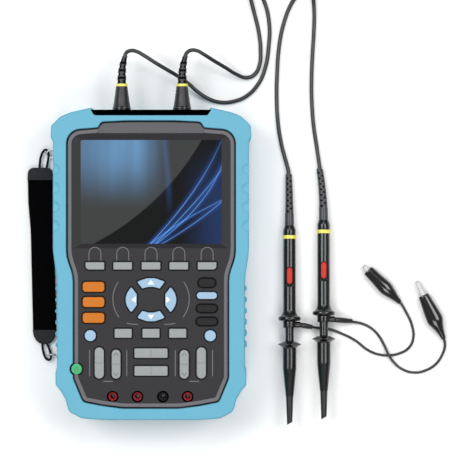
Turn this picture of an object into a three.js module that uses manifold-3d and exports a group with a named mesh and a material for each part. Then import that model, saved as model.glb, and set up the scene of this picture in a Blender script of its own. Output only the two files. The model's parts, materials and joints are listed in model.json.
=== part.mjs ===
// A handheld oscilloscope with its two probes, lying on its back on a table.
//
// +Z points out of the screen, +Y towards the two input sockets and +X to the right of the keypad.
// The origin is the middle of the case's flat back, on the table. Lengths are millimetres.
import * as THREE from 'three';
import { mergeVertices } from 'three/addons/utils/BufferGeometryUtils.js';
import Module from 'manifold-3d';

const wasm = await Module();
wasm.setup();

// ---- driving dimensions -------------------------------------------------------------------

const GAP = 0.3; // left between neighbouring pieces
const WALL = 2.5; // thickness of the moulded case
const BODY_DEPTH = 53.3; // rubber sleeve, from its back rim to its front rim
const SPLIT = 24; // height of the seam between the two case halves
const SHOULDER = 46; // top of the case under the sleeve's front lip
const PANEL_FACE = 49.5; // front of the keypad panel
const PANEL_BACK = 47; // inner side of the keypad panel
const KEY_TOP = 51.5;
const KEY_CLEARANCE = 0.35; // round a key in its hole
const FLANGE = 1.2; // how far a key's flange reaches past the key
const KEY_FLANGE = [44.9, 46.6]; // heights of a push key's flange
const ROCKER_FLANGE = [44.2, 45.9]; // lower, so that a rocking key has room
const BACK_LIP = 3; // thickness of the sleeve's back lip

const SOCKET_X = 24.9; // the two input sockets, left and right of the middle
const SOCKET_Z = 27;
const JACK_X = [-31.4, -11.1, 9.7, 29.9]; // the four meter jacks
const JACK_Y = -107.5;
const POWER_KEY = { x: -60.7, y: -84.8, radius: 4.4 };

const CABLE = 3.3; // probe cable diameter
const LEAD = 2.1; // ground lead diameter
const COIL = { x: 105, y: 262, inner: 13, outer: 26.6, height: 13.5 };
const PROBE_TILT = THREE.MathUtils.degToRad(3.15); // a probe rests on its guard and its cable
const GUARD_HEIGHT = 9.9; // of a probe's axis above the table, at the guard

// ---- making solids ------------------------------------------------------------------------

// A closed mesh as a solid: vertices merged, slivers dropped and faces turned outwards.
function solid(geometry) {
  geometry.deleteAttribute('normal');
  geometry.deleteAttribute('uv');
  const merged = mergeVertices(geometry, 1e-4);
  const place = merged.attributes.position.array;
  const index = merged.index.array;
  const faces = [];
  let volume = 0;
  for (let i = 0; i < index.length; i += 3) {
    const [a, b, c] = [index[i], index[i + 1], index[i + 2]];
    if (a === b || b === c || c === a) continue;
    faces.push(a, b, c);
    const corner = [a, b, c].map((k) => new THREE.Vector3().fromArray(place, 3 * k));
    volume += corner[0].dot(corner[1].cross(corner[2]));
  }
  if (volume < 0) faces.reverse();
  const mesh = new wasm.Mesh({
    numProp: 3,
    vertProperties: new Float32Array(place),
    triVerts: new Uint32Array(faces),
  });
  return new wasm.Manifold(mesh);
}

function geometryOf(body) {
  const { vertProperties, triVerts } = body.getMesh();
  const geometry = new THREE.BufferGeometry();
  geometry.setAttribute('position', new THREE.BufferAttribute(vertProperties, 3));
  geometry.setIndex(new THREE.BufferAttribute(triVerts, 1));
  geometry.computeVertexNormals();
  return geometry;
}

// An outline from its corners, each [x, y, radius], in order round the shape.
function outline(corners, arcStep = 0.35) {
  const points = [];
  corners.forEach(([x, y, radius], i) => {
    const corner = new THREE.Vector2(x, y);
    const [fromX, fromY] = corners.at(i - 1);
    const [toX, toY] = corners[(i + 1) % corners.length];
    const back = new THREE.Vector2(fromX - x, fromY - y).normalize();
    const on = new THREE.Vector2(toX - x, toY - y).normalize();
    const half = Math.acos(THREE.MathUtils.clamp(back.dot(on), -1, 1)) / 2;
    if (!radius || half > 1.565) {
      points.push(corner);
      return;
    }
    const start = corner.clone().addScaledVector(back, radius / Math.tan(half));
    const centre = corner.clone().addScaledVector(back.clone().add(on).normalize(), radius / Math.sin(half));
    const sweep = (Math.PI - 2 * half) * Math.sign(back.cross(on));
    const steps = Math.max(1, Math.ceil(Math.abs(sweep) / arcStep));
    for (let k = 0; k <= steps; k += 1) {
      points.push(start.clone().rotateAround(centre, (-sweep * k) / steps));
    }
  });
  return points;
}

// The corners of the same outline moved inwards by a distance, or outwards if it is negative.
function inset(corners, distance) {
  const turn = Math.sign(THREE.ShapeUtils.area(corners.map(([x, y]) => new THREE.Vector2(x, y))));
  return corners.map(([x, y, radius], i) => {
    const [fromX, fromY] = corners.at(i - 1);
    const [toX, toY] = corners[(i + 1) % corners.length];
    const before = new THREE.Vector2(x - fromX, y - fromY).normalize();
    const after = new THREE.Vector2(toX - x, toY - y).normalize();
    const inwards = [before, after].map((way) => new THREE.Vector2(-way.y, way.x).multiplyScalar(turn));
    const share = distance / (1 + inwards[0].dot(inwards[1]));
    const bulges = before.cross(after) * turn > 0;
    return [
      x + (inwards[0].x + inwards[1].x) * share,
      y + (inwards[0].y + inwards[1].y) * share,
      Math.max(0.2, radius + (bulges ? -distance : distance)),
    ];
  });
}

// The corner that bulges the edge between two points by a rise, as one shallow arc.
function crown([ax, ay], [bx, by], rise) {
  const chord = Math.hypot(bx - ax, by - ay);
  const [nx, ny] = [(by - ay) / chord, (ax - bx) / chord];
  const radius = (chord * chord) / (8 * rise) + rise / 2;
  return [(ax + bx) / 2 - 2 * nx * rise, (ay + by) / 2 - 2 * ny * rise, 0.9 * radius];
}

// The whole outline from its right half, listed from the top middle down to the bottom middle.
function mirrored(rightHalf) {
  const left = rightHalf.filter(([x]) => x !== 0).map(([x, y, radius]) => [-x, y, radius]);
  return [...rightHalf, ...left.reverse()];
}

function prism(points, low, high) {
  const shape = new THREE.Shape(points);
  const geometry = new THREE.ExtrudeGeometry(shape, { depth: high - low, bevelEnabled: false });
  return solid(geometry.translate(0, 0, low));
}

function block([x0, x1], [y0, y1], [z0, z1]) {
  const geometry = new THREE.BoxGeometry(x1 - x0, y1 - y0, z1 - z0);
  return solid(geometry.translate((x0 + x1) / 2, (y0 + y1) / 2, (z0 + z1) / 2));
}

function roundedRectangle(x, y, width, height, radius) {
  const [w, h] = [width / 2, height / 2];
  return [[x - w, y + h, radius], [x + w, y + h, radius], [x + w, y - h, radius], [x - w, y - h, radius]];
}

function circle(x, y, radius, sides = 20) {
  return Array.from({ length: sides }, (_, i) => {
    const angle = (2 * Math.PI * i) / sides;
    return new THREE.Vector2(x + radius * Math.cos(angle), y + radius * Math.sin(angle));
  });
}

// A round bar upright at x, y.
function post(x, y, radius, low, high, sides = 20) {
  return prism(circle(x, y, radius, sides), low, high);
}

// A round bar along +Y at x, z.
function bar(x, z, radius, [y0, y1], sides = 24) {
  const geometry = new THREE.CylinderGeometry(radius, radius, y1 - y0, sides);
  return solid(geometry.translate(x, (y0 + y1) / 2, z));
}

// A profile of [radius, y] turned about the Y axis. lean(y) moves it sideways along X.
function turned(profile, sides = 16, lean = () => 0) {
  const geometry = new THREE.LatheGeometry(profile.map(([r, y]) => new THREE.Vector2(r, y)), sides);
  const place = geometry.attributes.position;
  for (let i = 0; i < place.count; i += 1) place.setX(i, place.getX(i) + lean(place.getY(i)));
  return solid(geometry);
}

// A round cord through a list of points.
function cord(route, diameter, step) {
  const curve = new THREE.CatmullRomCurve3(route.map((p) => new THREE.Vector3(...p)), false, 'centripetal');
  const steps = Math.min(80, Math.ceil(curve.getLength() / step));
  const section = new THREE.Shape(circle(0, 0, diameter / 2, 8));
  return new THREE.ExtrudeGeometry(section, { steps, extrudePath: curve, bevelEnabled: false });
}

const scope = new THREE.Group();

// A finish: colour, roughness and metalness.
const FINISH = {
  sleeve: [0x6fc4e4, 0.55, 0],
  case: [0x47474a, 0.6, 0],
  glass: [0x16181c, 0.08, 0],
  lcd: [0x1d2c46, 0.4, 0],
  board: [0x1f5b34, 0.6, 0.1],
  battery: [0x3d4450, 0.5, 0],
  greyKey: [0xb9bcbc, 0.7, 0],
  orangeKey: [0xfa9614, 0.55, 0],
  blueKey: [0xb9d7ef, 0.55, 0],
  darkKey: [0x232326, 0.5, 0],
  powerKey: [0x3cb46e, 0.45, 0],
  jacks: [0xb43c40, 0.4, 0],
  strap: [0x0c0c0e, 0.9, 0],
  black: [0x141416, 0.3, 0],
  rubber: [0x101012, 0.5, 0],
  red: [0xe0402c, 0.4, 0],
  nickel: [0xb9b6ae, 0.3, 1],
};

function add(name, body, finish, parent = scope) {
  const geometry = body.isBufferGeometry ? geometryOf(solid(body)) : geometryOf(body);
  const [color, roughness, metalness] = FINISH[finish];
  const mesh = new THREE.Mesh(geometry, new THREE.MeshStandardMaterial({ color, roughness, metalness }));
  mesh.name = name;
  parent.add(mesh);
  return mesh;
}

// ---- outlines of the case -----------------------------------------------------------------

// The keypad panel that shows inside the sleeve: a raised header, square shoulders and a waist.
const PANEL = mirrored([
  [0, 118.9, 400],
  [40.6, 116.9, 4],
  [43.4, 112.2, 3],
  [69.2, 110.2, 12],
  [69.2, 7, 30],
  [63.7, -8.5, 30],
  [63.7, -92.5, 8],
  [55.6, -111.9, 5],
  [32, -116.4, 120],
  [0, -118.7, 300],
]);

// The case itself, which reaches under the sleeve's lips.
const CASE = mirrored([
  [0, 121.8, 400],
  [73.6, 115, 15],
  [73.6, 5, 30],
  [69.5, -10, 30],
  [69.5, -94.5, 8],
  [59.5, -116, 7],
  [0, -122.6, 400],
]);

// The sleeve from outside, with a thick bumper at each corner.
const SLEEVE = mirrored([
  [0, 127.1, 500],
  [45.3, 123.8, 1],
  [48.4, 128.6, 1.5],
  [66.1, 124.6, 8],
  [73.8, 121.3, 3],
  [81.4, 113.9, 3],
  [82, 104.5, 3],
  [80, 100.6, 1.5],
  [80, 11, 40],
  [76.7, -11, 40],
  [76.7, -83.5, 3],
  [77.9, -87.5, 3],
  [77.9, -97.6, 3],
  [73.4, -103.3, 3],
  [69.8, -109.5, 4],
  [67.2, -119.6, 7],
  [56.8, -125.1, 8],
  [0, -129.6, 500],
]);

// ---- keys ---------------------------------------------------------------------------------

// A flat bar with its long edges bulging, as the two horizontal rocker keys have.
function bulgedBar(x, y, width, height, rise) {
  const [w, h] = [width / 2, height / 2];
  const [a, b, c, d] = [[x - w, y + h], [x + w, y + h], [x + w, y - h], [x - w, y - h]];
  return [[...a, 0.8], crown(a, b, rise), [...b, 0.8], [...c, 0.8], crown(c, d, rise), [...d, 0.8]];
}

// The key of the navigation ring whose middle points along +Y, or the one along -X.
const RING_Y = -28.3;
const RING_TOP = [
  [-11.3, 14.5, 0.8],
  crown([-11.3, 14.5], [11.3, 14.5], 3.1),
  [11.3, 14.5, 0.8],
  [7.1, 9, 0.8],
  crown([-7.1, 9], [7.1, 9], 1.4),
  [-7.1, 9, 0.8],
];
const RING_LEFT = [
  [-16, 10.4, 0.8],
  [-11.6, 4.6, 0.8],
  [-11.6, -4.6, 0.8],
  [-16, -10.4, 0.8],
  crown([-16, -10.4], [-16, 10.4], 4.4),
];

function ringKey(corners, flipX, flipY) {
  return corners.map(([x, y, radius]) => [flipX * x, RING_Y + flipY * y, radius]);
}

const SOFT_X = [-45.8, -23.1, 0, 22.7, 45.8];
const softKeys = SOFT_X.map((x, i) => {
  const corners = roundedRectangle(x, -0.65, 15.3, 6.1, 0.6);
  if (i === 0) corners[3][2] = 2.8; // the outermost keys have one big outer corner
  if (i === 4) corners[2][2] = 2.8;
  return [`key_soft_${i + 1}`, corners, 'greyKey'];
});

const PUSH_KEYS = [
  ...softKeys,
  ...[-17.8, -30.2, -43.1].map((y, i) => [
    `key_mode_${i + 1}`, roundedRectangle(-46.9, y, 17.7, 8.2, 2.4), 'orangeKey',
  ]),
  ['key_up', ringKey(RING_TOP, 1, 1), 'blueKey'],
  ['key_down', ringKey(RING_TOP, 1, -1), 'blueKey'],
  ['key_left', ringKey(RING_LEFT, 1, 1), 'blueKey'],
  ['key_right', ringKey(RING_LEFT, -1, 1), 'blueKey'],
  ['key_menu', roundedRectangle(45.6, -14.5, 14, 7.1, 3.5), 'darkKey'],
  ['key_select', roundedRectangle(45.6, -24.9, 16.5, 5.7, 2.8), 'blueKey'],
  ['key_run', roundedRectangle(45.6, -35.4, 16.7, 6.2, 3), 'darkKey'],
  ['key_zoom', roundedRectangle(45.6, -46.1, 17, 6.3, 3.1), 'darkKey'],
  ['key_round_left', roundedRectangle(-49.5, -57.6, 9.2, 9.2, 4.58), 'blueKey'],
  ['key_round_right', roundedRectangle(48.4, -57.7, 9.2, 9.2, 4.58), 'blueKey'],
  ...[-22.7, 0, 21.8].map((x, i) => [
    `key_mid_${i + 1}`, roundedRectangle(x, -55.7, 14, 7.4, 0.7), 'greyKey',
  ]),
  ['key_power', roundedRectangle(POWER_KEY.x, POWER_KEY.y, 8.8, 8.8, POWER_KEY.radius - 0.02), 'powerKey'],
];

const ROCKER_KEYS = [
  ['key_rocker_1', roundedRectangle(-42.2, -79.9, 7.6, 25.6, 3.78), 'greyKey'],
  ['key_rocker_2', roundedRectangle(-28.5, -80.9, 7.3, 23.8, 3.63), 'greyKey'],
  ['key_rocker_3', roundedRectangle(27.1, -81, 7.5, 23.6, 3.73), 'greyKey'],
  ['key_rocker_4', roundedRectangle(41.1, -79.9, 7.6, 25.6, 3.78), 'greyKey'],
  ['key_wide_1', bulgedBar(0, -71.9, 27.1, 7.6, 0.6), 'greyKey'],
  ['key_wide_2', bulgedBar(0, -86.4, 27.1, 7.7, 0.6), 'greyKey'],
];

// A key is a cap that stands in its hole in the panel, on a flange that can't pass the hole.
function keyBody(corners, [low, high]) {
  const cap = prism(outline(corners), high - 0.2, KEY_TOP);
  return cap.add(prism(outline(inset(corners, -FLANGE), 0.8), low, high));
}

const keyHoles = [...PUSH_KEYS, ...ROCKER_KEYS].map(([, corners]) =>
  prism(outline(inset(corners, -KEY_CLEARANCE)), PANEL_BACK - 1, PANEL_FACE + 1));
PUSH_KEYS.forEach(([name, corners, finish]) => add(name, keyBody(corners, KEY_FLANGE), finish));
ROCKER_KEYS.forEach(([name, corners, finish]) => add(name, keyBody(corners, ROCKER_FLANGE), finish));

// ---- front case ---------------------------------------------------------------------------

const SCREEN = { low: 17.4, high: 102.2, half: 57.6 };
const BEZEL = { low: 13.7, high: 107, half: 64.7 };

// The screen opening, whose sides slope outwards to the bezel's edge on the panel's face.
function screenOpening() {
  const [x, y] = [SCREEN.half, (SCREEN.high - SCREEN.low) / 2];
  const points = outline(roundedRectangle(0, 0, 2 * x, 2 * y, 1.5), 0.3);
  const depth = PANEL_FACE - PANEL_BACK;
  const geometry = new THREE.ExtrudeGeometry(new THREE.Shape(points), { depth, bevelEnabled: false });
  const place = geometry.attributes.position;
  const wide = [BEZEL.half / x, (BEZEL.high - BEZEL.low) / 2 / y];
  const shift = (BEZEL.high + BEZEL.low - SCREEN.high - SCREEN.low) / 2;
  for (let i = 0; i < place.count; i += 1) {
    const up = place.getZ(i) > depth / 2 ? 1 : 0;
    place.setX(i, place.getX(i) * (up ? wide[0] : 1));
    place.setY(i, place.getY(i) * (up ? wide[1] : 1) + up * shift);
  }
  const slope = solid(geometry.translate(0, (SCREEN.high + SCREEN.low) / 2, PANEL_BACK));
  const above = roundedRectangle(0, (BEZEL.high + BEZEL.low) / 2, 2 * BEZEL.half, BEZEL.high - BEZEL.low, 1.7);
  return slope.add(prism(outline(above), PANEL_FACE - 0.01, PANEL_FACE + 1))
    .add(block([-x + 1, x - 1], [SCREEN.low + 1, SCREEN.high - 1], [PANEL_BACK - 1, PANEL_FACE]));
}

const socketHoles = [-SOCKET_X, SOCKET_X].map((x) => bar(x, SOCKET_Z, 5.5, [105, 135]));

let frontCase = prism(outline(CASE), SPLIT + GAP, SHOULDER)
  .add(prism(outline(inset(PANEL, GAP)), SHOULDER - 1, PANEL_FACE))
  .add(post(POWER_KEY.x, POWER_KEY.y, 5.3, SHOULDER - 1, PANEL_FACE))
  .subtract(prism(outline(inset(CASE, WALL)), SPLIT - 1, SHOULDER - WALL))
  .subtract(prism(outline(inset(PANEL, WALL + GAP)), SHOULDER - 2 * WALL, PANEL_BACK))
  .subtract(post(POWER_KEY.x, POWER_KEY.y, 6, SHOULDER - 2 * WALL, PANEL_BACK))
  .subtract(screenOpening());
// Each meter jack stands in a deep round well.
JACK_X.forEach((x) => {
  frontCase = frontCase
    .add(post(x, JACK_Y, 6, 31, PANEL_BACK + 0.5))
    .subtract(post(x, JACK_Y, 4.9, 30, PANEL_FACE + 1));
});
[...keyHoles, ...socketHoles].forEach((hole) => {
  frontCase = frontCase.subtract(hole);
});
add('front_case', frontCase, 'case');

// ---- rear case, stand and battery ---------------------------------------------------------

const REAR_FACE = inset(CASE, 4);
const STAND = { half: 35, low: 31, hinge: 100, axisZ: 2.2, thick: 3.6 };
const COVER = { half: 38, low: -92, high: -5, thick: 1.3 };

let rearCase = prism(outline(CASE), BACK_LIP + GAP, SPLIT)
  .add(prism(outline(REAR_FACE), 0, BACK_LIP + 1))
  .subtract(prism(outline(inset(CASE, WALL)), BACK_LIP + GAP + WALL, SPLIT + 1))
  .subtract(prism(outline(inset(REAR_FACE, 3)), 3, SPLIT))
  .add(block([-STAND.half - 3, STAND.half + 3], [21, 106], [0, 7]))
  .subtract(block([-STAND.half - 0.5, STAND.half + 0.5], [STAND.low - 0.5, STAND.hinge + 3], [-1, 4.6]))
  .subtract(block([-10, 10], [24, STAND.low], [-1, 3.6]))
  .subtract(block([-COVER.half, COVER.half], [COVER.low, COVER.high], [-1, COVER.thick + GAP]))
  .subtract(block([-COVER.half + 3, COVER.half - 3], [COVER.low + 3, COVER.high - 3], [-1, 4]));
socketHoles.forEach((hole) => {
  rearCase = rearCase.subtract(hole);
});
add('rear_case', rearCase, 'case');

// The stand is a flat leg whose upper end is rounded about its hinge line.
const standRound = STAND.thick / 2;
const standProfile = outline([
  [STAND.low, -standRound, 0.6],
  [STAND.hinge + standRound, -standRound, standRound - 0.02],
  [STAND.hinge + standRound, standRound, standRound - 0.02],
  [STAND.low, standRound, 0.6],
]);
const standLeg = new THREE.ExtrudeGeometry(new THREE.Shape(standProfile), {
  depth: 2 * STAND.half,
  bevelEnabled: false,
});
standLeg.translate(0, 0, -STAND.half);
standLeg.rotateY(Math.PI / 2);
standLeg.rotateX(Math.PI / 2);
standLeg.translate(0, 0, STAND.axisZ);
add('tilt_stand', standLeg, 'case');

const coverInside = COVER.half - GAP;
add('battery_cover', prism(outline(roundedRectangle(
  0, (COVER.low + COVER.high) / 2, 2 * coverInside, COVER.high - COVER.low - 2 * GAP, 0,
)), 0, COVER.thick), 'case');
add('battery_pack', prism(outline(roundedRectangle(0, -48.5, 66, 75, 3)), 3.6, 21.6), 'battery');

// ---- inside: board with its input sockets, display, window, jacks --------------------------

let board = block([-60, 60], [-94, 111], [34, 35.6]);
[-SOCKET_X, SOCKET_X].forEach((x) => {
  board = board
    .add(block([x - 8, x + 8], [98, 113], [20, 34.5]))
    .add(bar(x, SOCKET_Z, 4.85, [112, 127]));
});
add('main_board', board, 'board');
add('lcd_module', block([-60, 60], [14.5, 106], [38, 44.6]), 'lcd');
add('display_window', block([-60.5, 60.5], [14.8, 105.2], [45.1, PANEL_BACK - GAP]), 'glass');

let jackBlock = block([-38, 37], [JACK_Y - 6, JACK_Y + 6], [20, 30.7]);
JACK_X.forEach((x) => {
  jackBlock = jackBlock
    .add(post(x, JACK_Y, 3.55, 30, PANEL_FACE - 1))
    .subtract(post(x, JACK_Y, 2, 26, PANEL_FACE, 12));
});
add('jack_block', jackBlock, 'jacks');

// ---- rubber sleeve ------------------------------------------------------------------------

const UPPER_GRIP_Y = [80.8, 65.3, 50.2, 34.6]; // four shallow finger scallops a side
const LOWER_GRIP = { first: -19.3, pitch: -9.2, count: 6 }; // six ribs a side

let sleeve = prism(outline(SLEEVE, 0.5), 0, BODY_DEPTH);
[-1, 1].forEach((side) => {
  for (let i = 0; i < LOWER_GRIP.count; i += 1) {
    const y = LOWER_GRIP.first + i * LOWER_GRIP.pitch;
    sleeve = sleeve.add(post(side * 76, y, 2.4, 9, BODY_DEPTH - 6, 10));
  }
  UPPER_GRIP_Y.forEach((y) => {
    sleeve = sleeve.subtract(post(side * 93, y, 14.2, 9, BODY_DEPTH - 6, 40));
  });
});
sleeve = sleeve
  .subtract(prism(outline(PANEL), SHOULDER, BODY_DEPTH + 1))
  .subtract(post(POWER_KEY.x, POWER_KEY.y, 5.6, SHOULDER, BODY_DEPTH + 1))
  .subtract(prism(outline(inset(CASE, -GAP)), BACK_LIP, SHOULDER + GAP))
  .subtract(prism(outline(inset(CASE, 4 - GAP)), -1, BACK_LIP + 1));
[-SOCKET_X, SOCKET_X].forEach((x) => {
  sleeve = sleeve.subtract(bar(x, SOCKET_Z, 9, [105, 140], 20));
});
add('rubber_sleeve', sleeve, 'sleeve');

// ---- hand strap ---------------------------------------------------------------------------

// A padded bar beside the sleeve, with a cord loop at each end that hangs in a steel ring.
const strapPad = prism(outline([
  [-104.5, 80.8, 7],
  [-83.9, 80.4, 7],
  [-80.4, -66.4, 9],
  [-99.7, -66.8, 9],
]), 0.5, 5.5);
function strapLoop(x, low, high, lean) {
  const corners = roundedRectangle(0, 0, 8, high - low, 3.9);
  const hole = roundedRectangle(0, 0, 4, high - low - 4, 1.95);
  const place = (list) => list.map(([px, py, radius]) => [x + px + lean * py, (low + high) / 2 + py, radius]);
  return prism(outline(place(corners)), 2.5, 4.5).subtract(prism(outline(place(hole)), 2, 5));
}
add('hand_strap', strapPad.add(strapLoop(-90.9, 77, 96.3, 0.05)).add(strapLoop(-87.6, -79.9, -63, -0.1)), 'strap');

// ---- probe plugs on the input sockets ------------------------------------------------------

const COLLAR = { bore: 5.3, radius: 7.6, low: 122, high: 130.1 };
const BOOT_BEND = 148.4; // where the strain relief starts to lean
const BOOT_END = 171.8;
const BOOT_LEAN = 2.6;
const bootLean = (y) => BOOT_LEAN * (Math.max(0, y - BOOT_BEND) / (BOOT_END - BOOT_BEND)) ** 3;

[-SOCKET_X, SOCKET_X].forEach((x, i) => {
  const collar = turned([
    [COLLAR.bore, COLLAR.low], [COLLAR.radius, COLLAR.low], [COLLAR.radius, COLLAR.high],
    [COLLAR.bore, COLLAR.high], [COLLAR.bore, COLLAR.low],
  ], 24);
  const boot = turned([
    [0, 128.3], [4.8, 128.3], [4.8, 130.4], [7.1, 130.4], [7.1, 131.6], [5.9, 139], [4.6, 147.5],
    [4.2, 152], [3.75, 158], [3.2, 164], [2.7, 168.5], [2.35, BOOT_END], [0, BOOT_END],
  ], 20, bootLean);
  add(`bnc_collar_${i + 1}`, collar.translate([x, 0, SOCKET_Z]), 'nickel');
  add(`plug_boot_${i + 1}`, boot.translate([x, 0, SOCKET_Z]), 'rubber');
});

// ---- probes -------------------------------------------------------------------------------

// A probe lies along Y. Its own frame has y = 0 at the finger guard and -y towards the tip.
const RELIEF = { start: 80, end: 120.8 };
const SWITCH = { width: 4.4, length: 13.6, rest: 35.9, slot: [26.3, 43.4] };
const SHEATH_BACK = -18.6;

function probeBarrel(relief) {
  const lean = (y) => relief * (Math.max(0, y - RELIEF.start) / (RELIEF.end - RELIEF.start)) ** 2;
  const profile = [
    [0, RELIEF.end], [2.7, RELIEF.end], [2.9, 113], [3.1, 105.5], [3.3, 98], [3.6, 90],
    [3.75, RELIEF.start], [4.2, 77.5], [5.2, 75], [5.2, 6.2], [6.4, 3.5], [8.9, 1.4], [9.3, 0.6],
    [9.3, -0.4], [8.7, -1.2], [5.4, -2], [5.4, -7.2], [3.6, -7.5], [3.6, SHEATH_BACK],
    [3.2, SHEATH_BACK - 0.5], [3.2, -34], [1.1, -35], [1.1, -82.5], [0, -83.5],
  ];
  const [low, high] = SWITCH.slot;
  return turned(profile, 18, lean)
    .add(block([4.5, 9.5], [-7.1, -2.2], [-2.5, 2.5]))
    .subtract(prism(outline(roundedRectangle(0, (low + high) / 2, 5, high - low, 2.4)), 3, 6));
}

function hookSheath() {
  const profile = [
    [4, SHEATH_BACK], [4.6, SHEATH_BACK], [9.8, -20.7], [9.8, -21.4], [5.6, -23.6], [5.6, -42],
    [3.2, -64.5], [2.25, -87.9], [1.6, -87.9], [1.6, -44], [4, -44], [4, SHEATH_BACK],
  ];
  const cut = new THREE.BoxGeometry(20, 10, 20);
  cut.rotateZ(THREE.MathUtils.degToRad(29));
  cut.translate(2.42, -90.9, 0);
  return turned(profile, 18).subtract(solid(cut));
}

// The two probes: where the finger guard is, how far the strain relief leans, and the way of
// the cable from the plug to the coil, of the rest of it from the coil to the probe, and of the
// ground lead from the probe to its clip.
const TABLE = CABLE / 2 + 0.1; // height of a cable's middle on the table
const FLOOR = LEAD / 2 + 0.1; // and of a ground lead's
const PROBES = [
  {
    guard: [113.9, -45.4],
    relief: -0.6,
    out: [
      [-22.5, 172.5, 27], [-21.2, 174.9, 26.9], [-17.9, 176.7, 26.6], [-13.4, 176.3, 26], [-5.9, 172.4, 24.5],
      [2.9, 166.9, 21.5], [13.1, 161.1, 16.5], [21.7, 156.1, 12.5], [29.7, 150.6, 9.3], [37.4, 143.9, 6.6],
      [45.5, 138.7, 4.2], [55.7, 135.4, 2.4], [66.9, 136, TABLE], [78.2, 140.6, TABLE], [87.4, 149.8, TABLE],
      [93.5, 163.1, TABLE], [96.6, 181.5, TABLE], [97.1, 200.9, TABLE], [92.5, 220.3, TABLE], [84, 234, TABLE],
      [80.25, 247.9, TABLE],
    ],
    back: [
      [129.75, 247.9, 5.05], [128, 238, 4.2], [123, 227.5, 2.4], [116, 218.3, TABLE], [109.4, 201.9, TABLE],
      [105.3, 181.5, TABLE], [103.7, 160, TABLE], [103.3, 138.5, TABLE], [104.5, 117.2, TABLE],
      [107.4, 99.7, TABLE], [110.9, 86.4, 2.3], [113, 78.2, 3], [113.4, 75.6, 3.2],
    ],
    lead: [
      [123.8, -50.4, 9.9], [130.1, -51.6, 8.4], [138.8, -53, 4.4], [146.2, -53.6, 2.2], [156.2, -57.2, FLOOR],
      [168.3, -63.1, FLOOR], [180.1, -71.9, FLOOR], [188.2, -75.1, FLOOR], [197, -75.9, FLOOR],
      [205.7, -74.3, FLOOR], [213.8, -69.5, FLOOR], [217.4, -61.5, FLOOR], [216.1, -50.3, FLOOR],
      [211.3, -39.8, 1.7], [206.9, -32.5, 2.6],
    ],
    clip: { tail: [206.5, -32.1], turn: 45, length: 38.8, width: 12, jaw: 4.6 },
  },
  {
    guard: [142.3, -40.8],
    relief: -3.2,
    out: [
      [27.9, 172.5, 27], [29.2, 174.9, 26.9], [32.1, 177, 26.5], [36.6, 176.9, 25.6], [43.7, 173.3, 23],
      [50.3, 169.3, 19.5], [60.9, 163.4, 12.6], [70, 158.2, 7], [78.2, 155.8, 3.6], [84.8, 158.5, 2.1],
      [88.9, 166.1, TABLE], [89.9, 178.4, TABLE], [88.4, 193.7, TABLE], [84.8, 209.1, 2.1], [81.2, 224.2, 4],
      [80.2, 237, 6.6], [80.2, 247.9, 8.35],
    ],
    back: [
      [129.8, 247.9, 11.65], [130.8, 239, 9.8], [132.6, 229.5, 6.4], [134, 220.2, 3.4], [134.7, 208, 1.95],
      [134.2, 191.7, TABLE], [133, 171.2, TABLE], [132.4, 150.8, TABLE], [132.8, 132.4, TABLE],
      [134.2, 115.2, TABLE], [136.5, 99.7, TABLE], [138.4, 86.4, 2.6], [139.3, 80.2, 3.2],
    ],
    lead: [
      [152.2, -45.9, 9.9], [158.7, -46.5, 7.6], [166, -47.7, 4.2], [174.6, -49.4, 1.8], [182.6, -53.5, FLOOR],
      [188.2, -59.1, FLOOR], [192.9, -67.1, 2.2], [196.9, -75.8, 3.6], [200.9, -81.5, 2.4],
      [208.2, -87.5, FLOOR], [218.5, -90.3, FLOOR], [228.1, -88.3, FLOOR], [236.2, -83.2, FLOOR],
      [241.7, -75.1, FLOOR], [243.7, -68.5, 1.7], [243.4, -63.2, 2.6],
    ],
    clip: { tail: [243, -62.4], turn: 25.4, length: 41, width: 13.9, jaw: 12.2 },
  },
];

// A crocodile clip in its rubber boot, from its tail at y = 0 to its mouth at y = length. The
// lower half carries the tail; the upper half turns on a pin across the widest place.
const CLIP = { pin: 18.3, seam: 4.8, top: 9.7, low: 0.4, jawWidth: 4.2 };

function clipHalf(plan, side, width) {
  const geometry = new THREE.ExtrudeGeometry(new THREE.Shape(outline(side)), { depth: width, bevelEnabled: false });
  geometry.translate(0, 0, -width / 2);
  geometry.rotateY(Math.PI / 2);
  geometry.rotateX(Math.PI / 2);
  return plan.intersect(solid(geometry));
}

function clipHalves({ length, width, jaw }) {
  const plan = prism(outline([
    [-2.1, 0, 0.8], [-2.4, 6, 8], [-width / 2, 16.7, 9], [-4.5, length, 1],
    [4.5, length, 1], [width / 2, 16.7, 9], [2.4, 6, 8], [2.1, 0, 0.8],
  ]), 0, 12);
  const { pin, seam, top, low, jawWidth } = CLIP;
  const lower = clipHalf(plan, [
    [0, low, 1], [length, low, 1.5], [length, seam - 0.3, 0], [pin - 1, seam - 0.3, 0],
    [pin - 1, top - 0.4, 1], [8, 6.6, 8], [0, 4.8, 1],
  ], 30);
  const upper = clipHalf(plan, [
    [pin - 0.4, seam + 0.1, 0], [length, seam + 0.1, 0], [length, top - 0.9, 1.5], [pin + 9, top, 10],
    [pin + 2.6, top - 0.2, 0],
  ], 30);
  const half = jawWidth / 2;
  return [
    lower.add(block([-half, half], [length - 2, length + jaw], [seam - 1.5, seam - 0.5])),
    upper.add(block([-half, half], [length - 2, length + jaw], [seam + 0.1, seam + 1.1])),
  ];
}

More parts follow.
